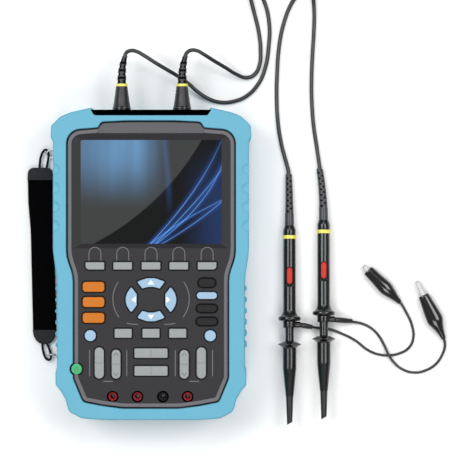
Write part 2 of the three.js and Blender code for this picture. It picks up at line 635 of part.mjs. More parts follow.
PROBES.forEach(({ guard, relief, out, back, lead, clip }, i) => {
  const number = i + 1;
  const probe = new THREE.Group();
  probe.position.set(guard[0], guard[1], GUARD_HEIGHT);
  probe.rotation.x = -PROBE_TILT;
  scope.add(probe);
  add(`probe_barrel_${number}`, probeBarrel(relief), 'black', probe);
  const slider = roundedRectangle(0, SWITCH.rest, SWITCH.width, SWITCH.length, SWITCH.width / 2 - 0.02);
  add(`attenuator_switch_${number}`, prism(outline(slider), 3.3, 5.6), 'red', probe);
  add(`hook_sheath_${number}`, hookSheath(), 'black', probe);

  add(`cable_out_${number}`, cord(out, CABLE, 7), 'rubber');
  add(`cable_back_${number}`, cord(back, CABLE, 8), 'rubber');
  add(`ground_lead_${number}`, cord(lead, LEAD, 5), 'rubber');

  const [body, jaw] = clipHalves(clip);
  const holder = new THREE.Group();
  holder.position.set(clip.tail[0], clip.tail[1], 0);
  holder.rotation.z = THREE.MathUtils.degToRad(clip.turn);
  scope.add(holder);
  add(`clip_body_${number}`, body, 'black', holder);
  add(`clip_jaw_${number}`, jaw, 'nickel', holder);
});

// The rest of both cables, wound and tied.
const coilRing = new THREE.LatheGeometry([
  [COIL.inner, 0.1], [COIL.outer, 0.1], [COIL.outer, COIL.height], [COIL.inner, COIL.height], [COIL.inner, 0.1],
].map(([r, y]) => new THREE.Vector2(r, y)), 32);
coilRing.rotateX(Math.PI / 2);
coilRing.translate(COIL.x, COIL.y, 0);
add('cable_coil', coilRing, 'rubber');

export default scope;
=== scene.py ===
"""A handheld oscilloscope with its two probes, lying on its back on a pale table."""

import json
import math

import bpy
from mathutils import Matrix, Vector


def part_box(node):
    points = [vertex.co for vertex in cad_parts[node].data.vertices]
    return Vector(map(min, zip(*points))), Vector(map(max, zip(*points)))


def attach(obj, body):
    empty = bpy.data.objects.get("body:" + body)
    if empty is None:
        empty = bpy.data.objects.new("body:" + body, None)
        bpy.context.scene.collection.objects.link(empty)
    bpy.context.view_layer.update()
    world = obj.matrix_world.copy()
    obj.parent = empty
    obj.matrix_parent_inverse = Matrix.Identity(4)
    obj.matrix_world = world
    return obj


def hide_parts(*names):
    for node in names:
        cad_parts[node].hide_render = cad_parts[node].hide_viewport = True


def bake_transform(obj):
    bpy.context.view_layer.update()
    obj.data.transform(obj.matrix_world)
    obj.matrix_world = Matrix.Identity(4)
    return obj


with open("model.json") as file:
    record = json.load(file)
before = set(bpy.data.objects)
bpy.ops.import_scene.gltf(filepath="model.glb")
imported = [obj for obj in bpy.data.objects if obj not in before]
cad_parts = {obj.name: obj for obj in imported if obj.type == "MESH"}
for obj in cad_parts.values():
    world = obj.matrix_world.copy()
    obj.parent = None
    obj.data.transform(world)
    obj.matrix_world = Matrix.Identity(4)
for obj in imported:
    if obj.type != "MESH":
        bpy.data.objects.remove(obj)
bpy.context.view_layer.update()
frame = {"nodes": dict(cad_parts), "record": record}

# ---- Camera ----
# A long lens that looks straight down at the instrument and at the probes on its right. It
# stands high enough for the edge of the picture to cut the two cables off.

MM = 0.001
bpy.ops.object.camera_add(location=(70.2 * MM, 22.9 * MM, 2200 * MM), rotation=(0, 0, 0))
camera = bpy.context.object
camera.data.lens = 200
camera.data.sensor_width = 36
bpy.context.scene.camera = camera

# ---- Probe cables ----
# Two limp coaxial cables with a black PVC sheath, 3.3 mm thick and 1.2 m long. Each leaves its
# plug, drops to the table, is wound with the other one into a tied coil and ends in its probe.

CABLE = 3.3
FLAT = CABLE / 2 + 0.1  # height of a cable's middle where it lies on the table
COIL = (105, 262)
COIL_TURNS = 6.5
TURN_STEPS = 16


def paint(red, green, blue):
    """A colour from its usual 0 to 255 values."""
    parts = [value / 255 for value in (red, green, blue)]
    linear = [c / 12.92 if c <= 0.04045 else ((c + 0.055) / 1.055) ** 2.4 for c in parts]
    return (*linear, 1)


def settle(node, **values):
    """Sets constants on a shader node's sockets. An underscore in a name stands for a space."""
    for name, value in values.items():
        node.inputs[name.replace("_", " ")].default_value = value


def moulding(
    name, colour, roughness, vary=0.12, grain=2600, relief=0.02, metallic=0, coat=0, blotch=90, shine=0.5
):
    """A moulded finish: a colour that drifts slowly, and a fine grain in its gloss and relief."""
    material = bpy.data.materials.new(name)
    material.use_nodes = True
    nodes, links = material.node_tree.nodes, material.node_tree.links
    shader = nodes["Principled BSDF"]
    settle(shader, Metallic=metallic, Coat_Weight=coat, Coat_Roughness=0.08, Specular_IOR_Level=shine)
    place = nodes.new("ShaderNodeTexCoord")
    slow = nodes.new("ShaderNodeTexNoise")
    settle(slow, Scale=blotch, Detail=4)
    fine = nodes.new("ShaderNodeTexNoise")
    settle(fine, Scale=grain, Detail=2)
    for texture in (slow, fine):
        links.new(place.outputs["Object"], texture.inputs["Vector"])
    tone = nodes.new("ShaderNodeMix")
    tone.data_type = "RGBA"
    darker = tuple(c * (1 - vary) for c in colour[:3]) + (1,)
    lighter = tuple(min(1, c * (1 + vary)) for c in colour[:3]) + (1,)
    settle(tone, A=darker, B=lighter)
    links.new(slow.outputs["Fac"], tone.inputs["Factor"])
    links.new(tone.outputs["Result"], shader.inputs["Base Color"])
    gloss = nodes.new("ShaderNodeMapRange")
    settle(gloss, To_Min=roughness * 0.85, To_Max=min(1, roughness * 1.15))
    links.new(fine.outputs["Fac"], gloss.inputs["Value"])
    links.new(gloss.outputs["Result"], shader.inputs["Roughness"])
    bump = nodes.new("ShaderNodeBump")
    settle(bump, Strength=0.5, Distance=relief * MM)
    links.new(fine.outputs["Fac"], bump.inputs["Height"])
    links.new(bump.outputs["Normal"], shader.inputs["Normal"])
    return material


def dress(piece, material, body):
    """Gives a finished piece its material and the body it moves with."""
    if piece.data.materials:
        piece.data.materials[0] = material
    else:
        piece.data.materials.append(material)
    if body:
        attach(piece, body)
    return piece


def lay_cord(name, route, diameter):
    """A round cord through a route of points in millimetres."""
    curve = bpy.data.curves.new(name, "CURVE")
    curve.dimensions = "3D"
    curve.bevel_depth = diameter / 2 * MM
    curve.bevel_resolution = 3
    curve.resolution_u = 6
    curve.use_fill_caps = True
    spline = curve.splines.new("BEZIER")
    spline.bezier_points.add(len(route) - 1)
    for point, place in zip(spline.bezier_points, route):
        point.co = Vector(place) * MM
        point.handle_left_type = "AUTO"
        point.handle_right_type = "AUTO"
    piece = bpy.data.objects.new(name, curve)
    bpy.context.scene.collection.objects.link(piece)
    return piece


def wound(bottom):
    """Three turns inwards in one layer, half a turn up, and three turns outwards in the next."""
    places = []
    for step in range(round(COIL_TURNS * TURN_STEPS) + 1):
        turns = step / TURN_STEPS
        radius = 7.5 * CABLE - CABLE * min(turns, 3) + CABLE * max(turns - 3.5, 0)
        height = bottom + CABLE * min(max(turns - 3, 0) * 2, 1)
        angle = math.pi - 2 * math.pi * turns
        places.append((COIL[0] + radius * math.cos(angle), COIL[1] + radius * math.sin(angle), height))
    return places


TO_COIL = [
    [
        (-23.2, 168.6, 27), (-22.3, 172.2, 27), (-21.2, 174.9, 26.9), (-17.9, 176.7, 26.6),
        (-13.4, 176.3, 26), (-5.9, 172.4, 24.5), (2.9, 166.9, 21.5), (13.1, 161.1, 16.5),
        (21.7, 156.1, 12.5), (29.7, 150.6, 9.3), (37.4, 143.9, 6.6), (45.5, 138.7, 4.2),
        (55.7, 135.4, 2.4), (66.9, 136, FLAT), (78.2, 140.6, FLAT), (87.4, 149.8, FLAT),
        (93.5, 163.1, FLAT), (96.6, 181.5, FLAT), (97.1, 200.9, FLAT), (92.5, 220.3, FLAT),
        (84, 234, FLAT), (80.25, 247.9, FLAT),
    ],
    [
        (26.6, 168.6, 27), (27.5, 172.2, 27), (28.8, 174.9, 26.9), (32.1, 177, 26.5),
        (36.6, 176.9, 25.6), (43.7, 173.3, 23), (50.3, 169.3, 19.5), (60.9, 163.4, 12.6), (70, 158.2, 7),
        (78.2, 155.8, 3.6), (84.8, 158.5, 2.1), (88.9, 166.1, FLAT), (89.9, 178.4, FLAT),
        (88.4, 193.7, FLAT), (84.8, 209.1, 2.1), (81.2, 224.2, 4), (80.2, 237, 6.6), (80.2, 247.9, 8.35),
    ],
]
TO_PROBE = [
    [
        (129.75, 247.9, 5.05), (128, 238, 4.2), (123, 227.5, 2.4), (116, 218.3, FLAT),
        (109.4, 201.9, FLAT), (105.3, 181.5, FLAT), (103.7, 160, FLAT), (103.3, 138.5, FLAT),
        (104.5, 117.2, FLAT), (107.4, 99.7, FLAT), (110.9, 86.4, 2.3), (113, 78.2, 3),
        (113.4, 72.6, 3.4),
    ],
    [
        (129.8, 247.9, 11.65), (130.8, 239, 9.8), (132.6, 229.5, 6.4), (134, 220.2, 3.4),
        (134.7, 208, 1.95), (134.2, 191.7, FLAT), (133, 171.2, FLAT), (132.4, 150.8, FLAT),
        (132.8, 132.4, FLAT), (134.2, 115.2, FLAT), (136.5, 99.7, FLAT), (138.4, 86.4, 2.6),
        (139.2, 80.2, 3.2), (139.4, 77, 3.4),
    ],
]

black_pvc = moulding("black_pvc", paint(30, 30, 32), 0.38, relief=0.01, coat=0.25)
for i in (0, 1):
    layers = wound(FLAT + 2 * i * CABLE)
    cable = lay_cord(f"probe_cable_{i + 1}", TO_COIL[i] + layers + TO_PROBE[i], CABLE)
    dress(cable, black_pvc, "instrument")
    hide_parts(f"cable_out_{i + 1}", f"cable_back_{i + 1}", "cable_coil")

# Three hook-and-loop ties hold the coil, each wrapped once round the whole bundle.


def only(*pieces):
    """Selects these pieces alone."""
    bpy.ops.object.select_all(action="DESELECT")
    for piece in pieces:
        piece.select_set(True)
    bpy.context.view_layer.objects.active = pieces[-1]


def editing(piece):
    """Opens a piece in edit mode with nothing selected."""
    only(piece)
    bpy.ops.object.mode_set(mode="EDIT")
    bpy.ops.mesh.select_mode(type="FACE")
    bpy.ops.mesh.select_all(action="DESELECT")


def done():
    bpy.ops.object.mode_set(mode="OBJECT")


def choose_faces(piece, test):
    """Opens a piece in edit mode with the faces selected whose centre and normal, in mm, pass."""
    editing(piece)
    done()
    for face in piece.data.polygons:
        face.select = test(face.center / MM, face.normal)
    bpy.ops.object.mode_set(mode="EDIT")


def applied(piece, modifier):
    """Applies a modifier to its piece."""
    only(piece)
    bpy.ops.object.modifier_apply(modifier=modifier.name)
    return piece


def smooth(piece, angle=35):
    """Shades a piece smooth up to an angle, with its large flat faces kept flat."""
    only(piece)
    bpy.ops.object.shade_smooth_by_angle(angle=math.radians(angle))
    weights = piece.modifiers.new("Weights", "WEIGHTED_NORMAL")
    weights.keep_sharp = True
    weights.weight = 100
    return applied(piece, weights)


def rounded(piece, width, segments=2, angle=35):
    """Rounds the edges sharper than an angle, and shades the rest smooth."""
    bevel = piece.modifiers.new("Rounding", "BEVEL")
    bevel.width = width * MM
    bevel.segments = segments
    bevel.limit_method = "ANGLE"
    bevel.angle_limit = math.radians(angle)
    bevel.use_clamp_overlap = False
    return smooth(applied(piece, bevel))


def plate(name, points, low, high):
    """A flat piece between two heights: a disc pulled to the outline's points, then extruded."""
    bpy.ops.object.select_all(action="DESELECT")
    bpy.ops.mesh.primitive_circle_add(vertices=len(points), radius=MM, fill_type="NGON")
    piece = bpy.context.object
    piece.name = name
    for vertex, (x, y) in zip(piece.data.vertices, points):
        vertex.co = Vector((x, y, low)) * MM
    bpy.ops.object.mode_set(mode="EDIT")
    bpy.ops.mesh.select_mode(type="FACE")
    bpy.ops.mesh.select_all(action="SELECT")
    bpy.ops.mesh.remove_doubles(threshold=0.06 * MM)
    bpy.ops.mesh.select_all(action="SELECT")
    bpy.ops.mesh.extrude_region_move(TRANSFORM_OT_translate={"value": (0, 0, (high - low) * MM)})
    bpy.ops.mesh.select_all(action="SELECT")
    bpy.ops.mesh.normals_make_consistent(inside=False)
    done()
    return piece


def outline(corners, arc_step=0.2):
    """The points of a closed outline from its corners, each (x, y, radius)."""
    points = []
    for i, (x, y, radius) in enumerate(corners):
        corner = Vector((x, y))
        before = Vector(corners[i - 1][:2])
        after = Vector(corners[(i + 1) % len(corners)][:2])
        back, on = (before - corner).normalized(), (after - corner).normalized()
        half = math.acos(max(-1, min(1, back.dot(on)))) / 2
        if radius == 0 or half > 1.565:
            points.append(corner)
            continue
        start = corner + back * (radius / math.tan(half))
        centre = corner + (back + on).normalized() * (radius / math.sin(half))
        sweep = (math.pi - 2 * half) * math.copysign(1, back.x * on.y - back.y * on.x)
        steps = max(1, math.ceil(abs(sweep) / arc_step))
        for k in range(steps + 1):
            points.append(centre + Matrix.Rotation(-sweep * k / steps, 2) @ (start - centre))
    return points


def box_corners(x, y, width, height, radius):
    w, h = width / 2, height / 2
    return [(x + i * w, y + j * h, radius) for i, j in ((-1, 1), (1, 1), (1, -1), (-1, -1))]


def shift(x, y, z):
    return Matrix.Translation(Vector((x, y, z)) * MM)


hook_and_loop = moulding(
    "hook_and_loop", paint(26, 26, 28), 0.95, vary=0.5, grain=1800, relief=0.25, blotch=900
)
COIL_MIDDLE, COIL_RADIUS = 6.9, 19.8
TIE_WIDTH, TIE_HEIGHT, TIE_CORNER = 14.6, 13.5, 2.2

for i in range(3):
    outer = outline(box_corners(0, 0, TIE_WIDTH, TIE_HEIGHT, TIE_CORNER))
    tie = plate(f"coil_tie_{i + 1}", outer, -4, 4)
    choose_faces(tie, lambda centre, normal: abs(normal.z) > 0.9)
    bpy.ops.mesh.inset(thickness=0.55 * MM)
    bpy.ops.mesh.bridge_edge_loops()
    done()
    upright = Matrix.Rotation(math.pi / 2, 4, "X")
    around = Matrix.Rotation(math.radians(90 + 120 * i), 4, "Z")
    tie.data.transform(shift(*COIL, COIL_MIDDLE) @ around @ shift(COIL_RADIUS, 0, 0) @ upright)
    rounded(tie, 0.15)
    dress(tie, hook_and_loop, "instrument")

# ---- Probe plugs ----
# Each plug is a bayonet collar with a fluted black grip in front of a black rubber boot that
# tapers into a slotted strain relief. A coloured ring marks which probe it belongs to.

SOCKET_X = (-24.9, 24.9)
SOCKET_Z = 27
BEND_START, BEND_END, BEND_LEAN = 148.4, 171.8, 2.6


def open_ring(name, sides, radius=1, along=0):
    """A circle round the Y axis, to be extruded along it."""
    bpy.ops.object.select_all(action="DESELECT")
    bpy.ops.mesh.primitive_circle_add(
        vertices=sides, radius=radius * MM, location=(0, along * MM, 0), rotation=(math.pi / 2, 0, 0)
    )
    piece = bpy.context.object
    piece.name = name
    bpy.ops.object.transform_apply()
    return piece


def edit_points():
    """Opens the active piece in edit mode with every point selected."""
    bpy.ops.object.mode_set(mode="EDIT")
    bpy.ops.mesh.select_mode(type="VERT")
    bpy.ops.mesh.select_all(action="SELECT")


def close_ends():
    """Fills the open ends, turns every face outwards and leaves edit mode."""
    bpy.ops.mesh.select_all(action="SELECT")
    bpy.ops.mesh.remove_doubles(threshold=1e-6)
    bpy.ops.mesh.fill_holes(sides=0)
    bpy.ops.mesh.normals_make_consistent(inside=False)
    done()


def turn(name, profile, sides=40):
    """A piece turned about the Y axis: a circle extruded and scaled from step to step."""
    radius, along = profile[0]
    piece = open_ring(name, sides, radius, along)
    edit_points()
    for next_radius, next_along in profile[1:]:
        step = (0, (next_along - along) * MM, 0)
        bpy.ops.mesh.extrude_region_move(TRANSFORM_OT_translate={"value": step})
        scale = next_radius / radius
        bpy.ops.transform.resize(value=(scale, 1, scale), center_override=(0, next_along * MM, 0))
        radius, along = next_radius, next_along
    close_ends()
    return piece


def slot_rings(start, end, pitch, radius_at, wide=1.3):
    """Profile steps with a pair of rings at each slot, a tenth of the pitch after the last."""
    rings = []
    count = math.floor(abs(end - start) / pitch)
    way = math.copysign(1, end - start)
    for k in range(count):
        low = start + way * (k + 0.1) * pitch
        rings += [(radius_at(low), low), (radius_at(low + way * wide), low + way * wide)]
    return rings


def in_slot(along, start, pitch, odd):
    """Whether a face lies in one of a strain relief's odd or even slots."""
    place = (along - start) / pitch
    return place > 0 and int(place) % 2 == odd and 0.2 < place % 1 < 0.8


def in_flute(centre, normal):
    """Whether a face lies in one of the flutes round a collar's grip."""
    strip = math.degrees(math.atan2(centre.x, centre.z)) // 5
    return 124.3 < centre.y < 128.6 and math.hypot(normal.x, normal.z) > 0.9 and strip % 2 == 0


def sink(piece, test, depth):
    """Presses the chosen faces in along their normals, and gives them the second material, a near-black
    painted shade.
    """
    choose_faces(piece, test)
    bpy.ops.mesh.extrude_region_shrink_fatten(TRANSFORM_OT_shrink_fatten={"value": -depth * MM})
    done()
    for face in piece.data.polygons:
        if face.select:
            face.material_index = 1


collar_black = moulding("collar_black", paint(20, 21, 24), 0.3, relief=0.01, coat=0.3)
nickel = moulding("nickel_plate", paint(206, 206, 208), 0.42, vary=0.05, relief=0.004, metallic=1)
boot_rubber = moulding("boot_rubber", paint(32, 32, 34), 0.42, relief=0.02, coat=0.2)
# Near black for the bottoms of the slots and flutes: painted shade in the recesses.
slot_painted_shade = moulding("slot_painted_shade", paint(5, 5, 6), 0.8, relief=0.01, shine=0.1)
ring_yellow = moulding("ring_yellow", paint(240, 226, 96), 0.35, vary=0.05, relief=0.006, coat=0.3)

for i, x in enumerate(SOCKET_X):
    home = shift(x, 0, SOCKET_Z)

    collar = turn(f"bayonet_collar_{i + 1}", [
        (5.3, 122.2), (7.3, 122.2), (7.55, 122.6), (7.55, 124), (7.35, 124.3), (7.35, 128.6),
        (7.55, 128.9), (7.55, 129.7), (7.2, 130.1), (5.3, 130.1), (5.3, 122.2),
    ], 72)
    sink(collar, in_flute, 0.3)
    collar.data.transform(home)
    dress(smooth(collar, 30), collar_black, f"collar_{i + 1}")
    collar.data.materials.append(slot_painted_shade)
    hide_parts(f"bnc_collar_{i + 1}")

    relief_radius = lambda y: 3.95 - 1.4 * (y - 149.5) / 22.3
    boot = turn(f"plug_boot_body_{i + 1}", [
        (4.8, 128.3), (4.8, 130.4), (6.9, 130.4), (7.1, 130.6), (7.1, 131.4), (6.9, 131.7), (6.3, 135),
        (5.85, 139), (5.6, 139.4), (5.6, 139.9), (5.75, 140.2), (5.5, 141.6), (5.25, 142), (5.25, 142.5),
        (5.4, 142.8), (5.15, 144.2), (4.9, 144.6), (4.9, 145.1), (5.05, 145.4), (4.75, 147),
        (4.1, 147.1), (4.05, 149.4), *slot_rings(149.6, 171, 3.1, relief_radius, 2.1),
        (2.5, 171.2), (2.35, BEND_END), (1.72, BEND_END),
    ], 48)
    for side in (0, 1):
        slots = lambda c, n: (
            in_slot(c.y, 149.6, 3.1, side) and abs(n.y) < 0.4 and abs(n.z if side else n.x) > 0.3
        )
        sink(boot, slots, 0.5)
    for vertex in boot.data.vertices:
        beyond = max(0, vertex.co.y / MM - BEND_START) / (BEND_END - BEND_START)
        vertex.co.x += BEND_LEAN * beyond**3 * MM
    boot.data.transform(home)
    dress(smooth(boot, 40), boot_rubber, "instrument")
    boot.data.materials.append(slot_painted_shade)
    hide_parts(f"plug_boot_{i + 1}")

    ring = turn(f"plug_ring_{i + 1}", [
        (4.15, 147.1), (4.7, 147.1), (4.85, 147.25), (4.85, 149), (4.7, 149.2), (4.15, 149.2),
        (4.15, 147.1),
    ])
    ring.data.transform(home)
    dress(smooth(ring), ring_yellow, "instrument")

# ---- Probes ----
# A passive probe is a glossy black moulding: strain relief, barrel with an attenuation slide,
# finger guard and ground collar. A hook sheath slides on its shaft against a spring, and the
# needle and hook are inside. A probe rests on its guard and cable, so its tip stands up a little.

GUARDS = ((113.9, -45.4), (142.3, -40.8))
GUARD_HEIGHT = 9.9
PROBE_TILT = math.radians(3.15)
RELIEF_START, RELIEF_END = 80, 120.8
RELIEF_LEAN = (-0.6, -3.2)
SLOT_PITCH = 4.6

probe_plastic = moulding("probe_plastic", paint(13, 13, 15), 0.24, vary=0.2, relief=0.004, coat=0.25)
relief_rubber = moulding("relief_rubber", paint(58, 58, 61), 0.45, relief=0.02, coat=0.2)
tip_plastic = moulding("tip_plastic", paint(20, 20, 22), 0.34, vary=0.2, relief=0.01, coat=0.15)
slide_red = moulding("slide_red", paint(200, 44, 28), 0.35, vary=0.06, relief=0.01, coat=0.3)
steel = moulding("steel", paint(170, 170, 172), 0.28, vary=0.08, relief=0.004, metallic=1)


def cut(piece, cutter):
    """Cuts one closed piece out of another."""
    boolean = piece.modifiers.new("Cut", "BOOLEAN")
    boolean.operation = "DIFFERENCE"
    boolean.solver = "EXACT"
    boolean.object = cutter
    applied(piece, boolean)
    bpy.data.objects.remove(cutter)


def moved(piece, home):
    piece.data.transform(home)
    return piece


def joined(*pieces):
    """Joins pieces into the last one."""
    only(*pieces)
    bpy.ops.object.join()
    return pieces[-1]


def wire(name, points, diameter):
    """A short cord or wire through a few points, made into a mesh."""
    piece = lay_cord(name, points, diameter)
    only(piece)
    bpy.ops.object.convert(target="MESH")
    return piece


for i, (x, y) in enumerate(GUARDS):
    number = i + 1
    lean = RELIEF_LEAN[i]
    home = shift(x, y, GUARD_HEIGHT) @ Matrix.Rotation(-PROBE_TILT, 4, "X")

    relief_radius = lambda at: 3.65 - 0.95 * (at - RELIEF_START) / (RELIEF_END - RELIEF_START)
    relief = turn(f"probe_relief_{number}", [
        (3.5, 76), (3.7, 78), (3.7, 88), *slot_rings(88.5, 120, SLOT_PITCH / 2, relief_radius, 1.75),
        (2.7, 120.2), (2.45, RELIEF_END), (1.72, RELIEF_END),
    ], 48)
    for side in (-1, 1):
        slots = lambda c, n: (
            in_slot(c.y, 88.5, SLOT_PITCH / 2, side > 0) and abs(n.y) < 0.3 and 0.12 < side * n.x < 0.96
        )
        sink(relief, slots, 1.2)
    for vertex in relief.data.vertices:
        beyond = max(0, vertex.co.y / MM - RELIEF_START) / (RELIEF_END - RELIEF_START)
        vertex.co.x += lean * beyond**2 * MM
    dress(smooth(moved(relief, home), 40), relief_rubber, "instrument")
    relief.data.materials.append(slot_painted_shade)

    barrel = turn(f"probe_body_{number}", [
        (3.4, 78), (3.9, 78), (4.15, 77.4), (4.5, 76.2), (5, 74.9), (5.15, 74), (5.15, 70), (4.75, 69.8),
        (4.75, 66.6), (5.15, 66.4), (5.2, 50), (5.2, 8.5), (5.35, 6.6), (5.8, 5), (6.7, 3.3), (7.9, 2.1),
        (8.7, 1.9), (9.1, 1.6), (9.3, 1), (9.3, -0.3), (9.05, -0.95), (8.5, -1.3), (5.6, -1.9),
    ], 64)
    window = plate("window", outline(box_corners(0, 34.85, 5.8, 17.1, 2.85)), 3, 8)
    rounded(window, 0.2)
    cut(barrel, window)
    dress(smooth(moved(barrel, home), 30), probe_plastic, "instrument")
    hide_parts(f"probe_barrel_{number}")

    ring = turn(f"probe_ring_{number}", [
        (4.8, 66.7), (5.5, 66.7), (5.7, 66.95), (5.7, 69.4), (5.5, 69.7), (4.8, 69.7), (4.8, 66.7),
    ], 56)
    dress(smooth(moved(ring, home)), ring_yellow, "instrument")

    slide = plate(f"slide_switch_{number}", outline(box_corners(0, 35.9, 4.4, 13.6, 2.18)), 3.4, 5.35)
    choose_faces(slide, lambda c, n: n.z > 0.99)
    for inwards, up in ((0.25, 0.3), (0.45, 0.15), (0.35, -0.3)):
        bpy.ops.mesh.inset(thickness=inwards * MM)
        bpy.ops.transform.translate(value=(0, 0, up * MM))
    done()
    dress(smooth(moved(slide, home)), slide_red, f"attenuator_{number}")
    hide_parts(f"attenuator_switch_{number}")

    socket = turn(f"ground_collar_{number}", [
        (5, -1.9), (5.3, -2.1), (5.4, -2.4), (5.4, -3.7), (5.2, -3.9), (5.2, -4.3), (5.4, -4.5),
        (5.4, -6.8), (5.2, -7.15), (3.7, -7.2),
    ], 56)
    boss = turn("boss", [(2.5, 3.2), (2.5, 8.6), (2.3, 9.2), (1.7, 9.5), (1.1, 9.5)], 28)
    boss.data.transform(shift(0, -4.65, 0) @ Matrix.Rotation(-math.pi / 2, 4, "Z"))
    dress(smooth(moved(joined(boss, socket), home)), probe_plastic, "instrument")

    shaft = turn(f"probe_shaft_{number}", [
        (3.55, -7), (3.55, -12), (3.35, -12.2), (3.35, -12.8), (3.55, -13), (3.55, -18.2), (3.2, -18.6),
        (3.2, -34), (1.1, -35), (1.1, -82.5), (0.2, -83.6),
    ], 32)
    dress(smooth(moved(shaft, home)), probe_plastic, "instrument")

    sheath = turn(f"sheath_{number}", [
        (4, -18.6), (4.6, -18.6), (5.4, -18.85), (7.6, -19.75), (9.3, -20.5), (9.65, -20.85),
        (9.65, -21.15), (9.2, -21.55), (7.2, -22.7), (6.1, -23.4), (5.75, -23.9), (5.6, -24.6),
        (5.6, -40.5), (5.5, -42.2), (4.4, -53), (3.35, -63.6), (3.2, -64.2), (3.05, -64.4), (2.2, -87.9),
        (1.6, -87.9), (1.6, -44), (4, -43.4), (4, -18.6),
    ], 56)
    bpy.ops.object.select_all(action="DESELECT")
    bpy.ops.mesh.primitive_cube_add(
        size=1, location=(2.42 * MM, -90.9 * MM, 0), rotation=(0, 0, math.radians(29)))
    tip_cutter = bpy.context.object
    tip_cutter.scale = (20 * MM, 10 * MM, 20 * MM)
    cut(sheath, tip_cutter)
    dress(smooth(moved(sheath, home), 30), probe_plastic, f"sheath_{number}")
    sheath.data.materials.append(tip_plastic)
    for face in sheath.data.polygons:
        if (home.inverted() @ face.center).y < -64.3 * MM:
            face.material_index = 1
    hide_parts(f"hook_sheath_{number}")

    hook = wire(f"hook_wire_{number}", [
        (0, -60, 0.9), (0, -80, 0.9), (0, -84.2, 0.5), (0, -85, -0.4), (0, -83.8, -1),
    ], 0.7)
    dress(moved(hook, home), steel, "instrument")

# ---- Ground leads ----
# A thin black lead runs from each probe's ground collar to a crocodile clip. It starts in a short
# moulded relief, lies in a loose bow on the table, and the second lead crosses over the first.

LEAD = 2.1
FLOOR = LEAD / 2 + 0.1
LEADS = [
    [
        (123.8, -50.4, 9.9), (130.1, -51.6, 8.4), (138.8, -53, 4.4), (146.2, -53.6, 2.2),
        (156.2, -57.2, FLOOR), (168.3, -63.1, FLOOR), (180.1, -71.9, FLOOR), (188.2, -75.1, FLOOR),
        (197, -75.9, FLOOR), (205.7, -74.3, FLOOR), (213.8, -69.5, FLOOR), (217.4, -61.5, FLOOR),
        (216.1, -50.3, FLOOR), (211.3, -39.8, 1.7), (206.9, -32.5, 2.6), (204.2, -29.8, 3),
    ],
    [
        (152.2, -45.9, 9.9), (158.7, -46.5, 7.6), (166, -47.7, 4.2), (174.6, -49.4, 1.8),
        (182.6, -53.5, FLOOR), (188.2, -59.1, FLOOR), (192.9, -67.1, 2.2), (196.9, -75.8, 3.6),
        (200.9, -81.5, 2.4), (208.2, -87.5, FLOOR), (218.5, -90.3, FLOOR), (228.1, -88.3, FLOOR),
        (236.2, -83.2, FLOOR), (241.7, -75.1, FLOOR), (243.7, -68.5, 1.7), (243.1, -62.9, 2.6),
        (241.6, -59.5, 3),
    ],
]

RELIEF_REACH = (0.62, 1)  # the first is shorter, to stay clear of the other probe's hook sheath

for i, route in enumerate(LEADS):
    lead = lay_cord(f"ground_wire_{i + 1}", route, LEAD)
    dress(lead, black_pvc, "instrument")
    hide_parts(f"ground_lead_{i + 1}")
    start, towards = Vector(route[0]), Vector(route[1])
    reach = RELIEF_REACH[i]
    relief = turn(f"lead_relief_{i + 1}", [
        (1.07, -0.5), (1.9, -0.5), (2.2, 0), (2.3, 2.5), (2.25, 7 * reach), (2, 12 * reach),
        (1.85, 12.2 * reach), (1.85, 12.8 * reach), (1.95, 13 * reach), (1.85, 15 * reach),
        (1.6, 15.6 * reach), (1.07, 15.8 * reach),
    ], 28)
    for vertex in relief.data.vertices:
        vertex.co.z -= 0.0085 * (vertex.co.y / MM) ** 2 * MM
    aim = (towards - start).to_track_quat("Y", "Z").to_matrix().to_4x4()
    relief.data.transform(shift(*start) @ aim)
    dress(smooth(relief), boot_rubber, "instrument")

# ---- Ground clips ----
# A crocodile clip of nickel-plated steel in a glossy vinyl boot. Both jaws are toothed channels
# on one pin with a spring between them. The boot is cut at its seam into a lower and an upper half.

CLIPS = (
    {"tail": (206.5, -32.1), "turn": 45, "length": 38.8, "width": 12, "jaw": 4.6},
    {"tail": (243, -62.4), "turn": 25.4, "length": 41, "width": 13.9, "jaw": 12.2},
)
SEAM = 4.75

vinyl = moulding("glossy_vinyl", paint(22, 22, 24), 0.16, vary=0.2, grain=900, relief=0.02, coat=0.7)


def clip_boot(name, length, width):
    """A tapered tube of soft vinyl, narrow at the tail and widest over the clip's hand grips."""
    stations = [
        (0, 3.6, 1.2, 4.6), (1, 4.2, 0.9, 5.2), (4, 4.9, 0.7, 6), (8, 7, 0.5, 7.2),
        (12.5, 9.8, 0.4, 8.8), (16.7, width, 0.4, 9.6), (20, width * 0.985, 0.4, 9.7),
        (24, width * 0.93, 0.45, 9.6), (29, width * 0.85, 0.6, 9.2), (length - 4, 9.7, 0.9, 8.8),
        (length - 0.6, 9.1, 1.1, 8.5), (length, 8.6, 1.4, 8.2),
    ]
    piece = open_ring(name, 32)
    along, wide, low, high = stations[0]
    edit_points()
    bpy.ops.transform.resize(value=(wide / 2, 1, (high - low) / 2), center_override=(0, 0, 0))
    bpy.ops.transform.translate(value=(0, 0, (high + low) / 2 * MM))
    for next_along, next_wide, next_low, next_high in stations[1:]:
        lift = (next_high + next_low - high - low) / 2 * MM
        bpy.ops.mesh.extrude_region_move(
            TRANSFORM_OT_translate={"value": (0, (next_along - along) * MM, lift)})
        bpy.ops.transform.resize(
            value=(next_wide / wide, 1, (next_high - next_low) / (high - low)),
            center_override=(0, 0, (next_high + next_low) / 2 * MM))
        along, wide, low, high = next_along, next_wide, next_low, next_high
    close_ends()
    swell = piece.modifiers.new("Swell", "SUBSURF")
    swell.levels = swell.render_levels = 2
    return applied(piece, swell)


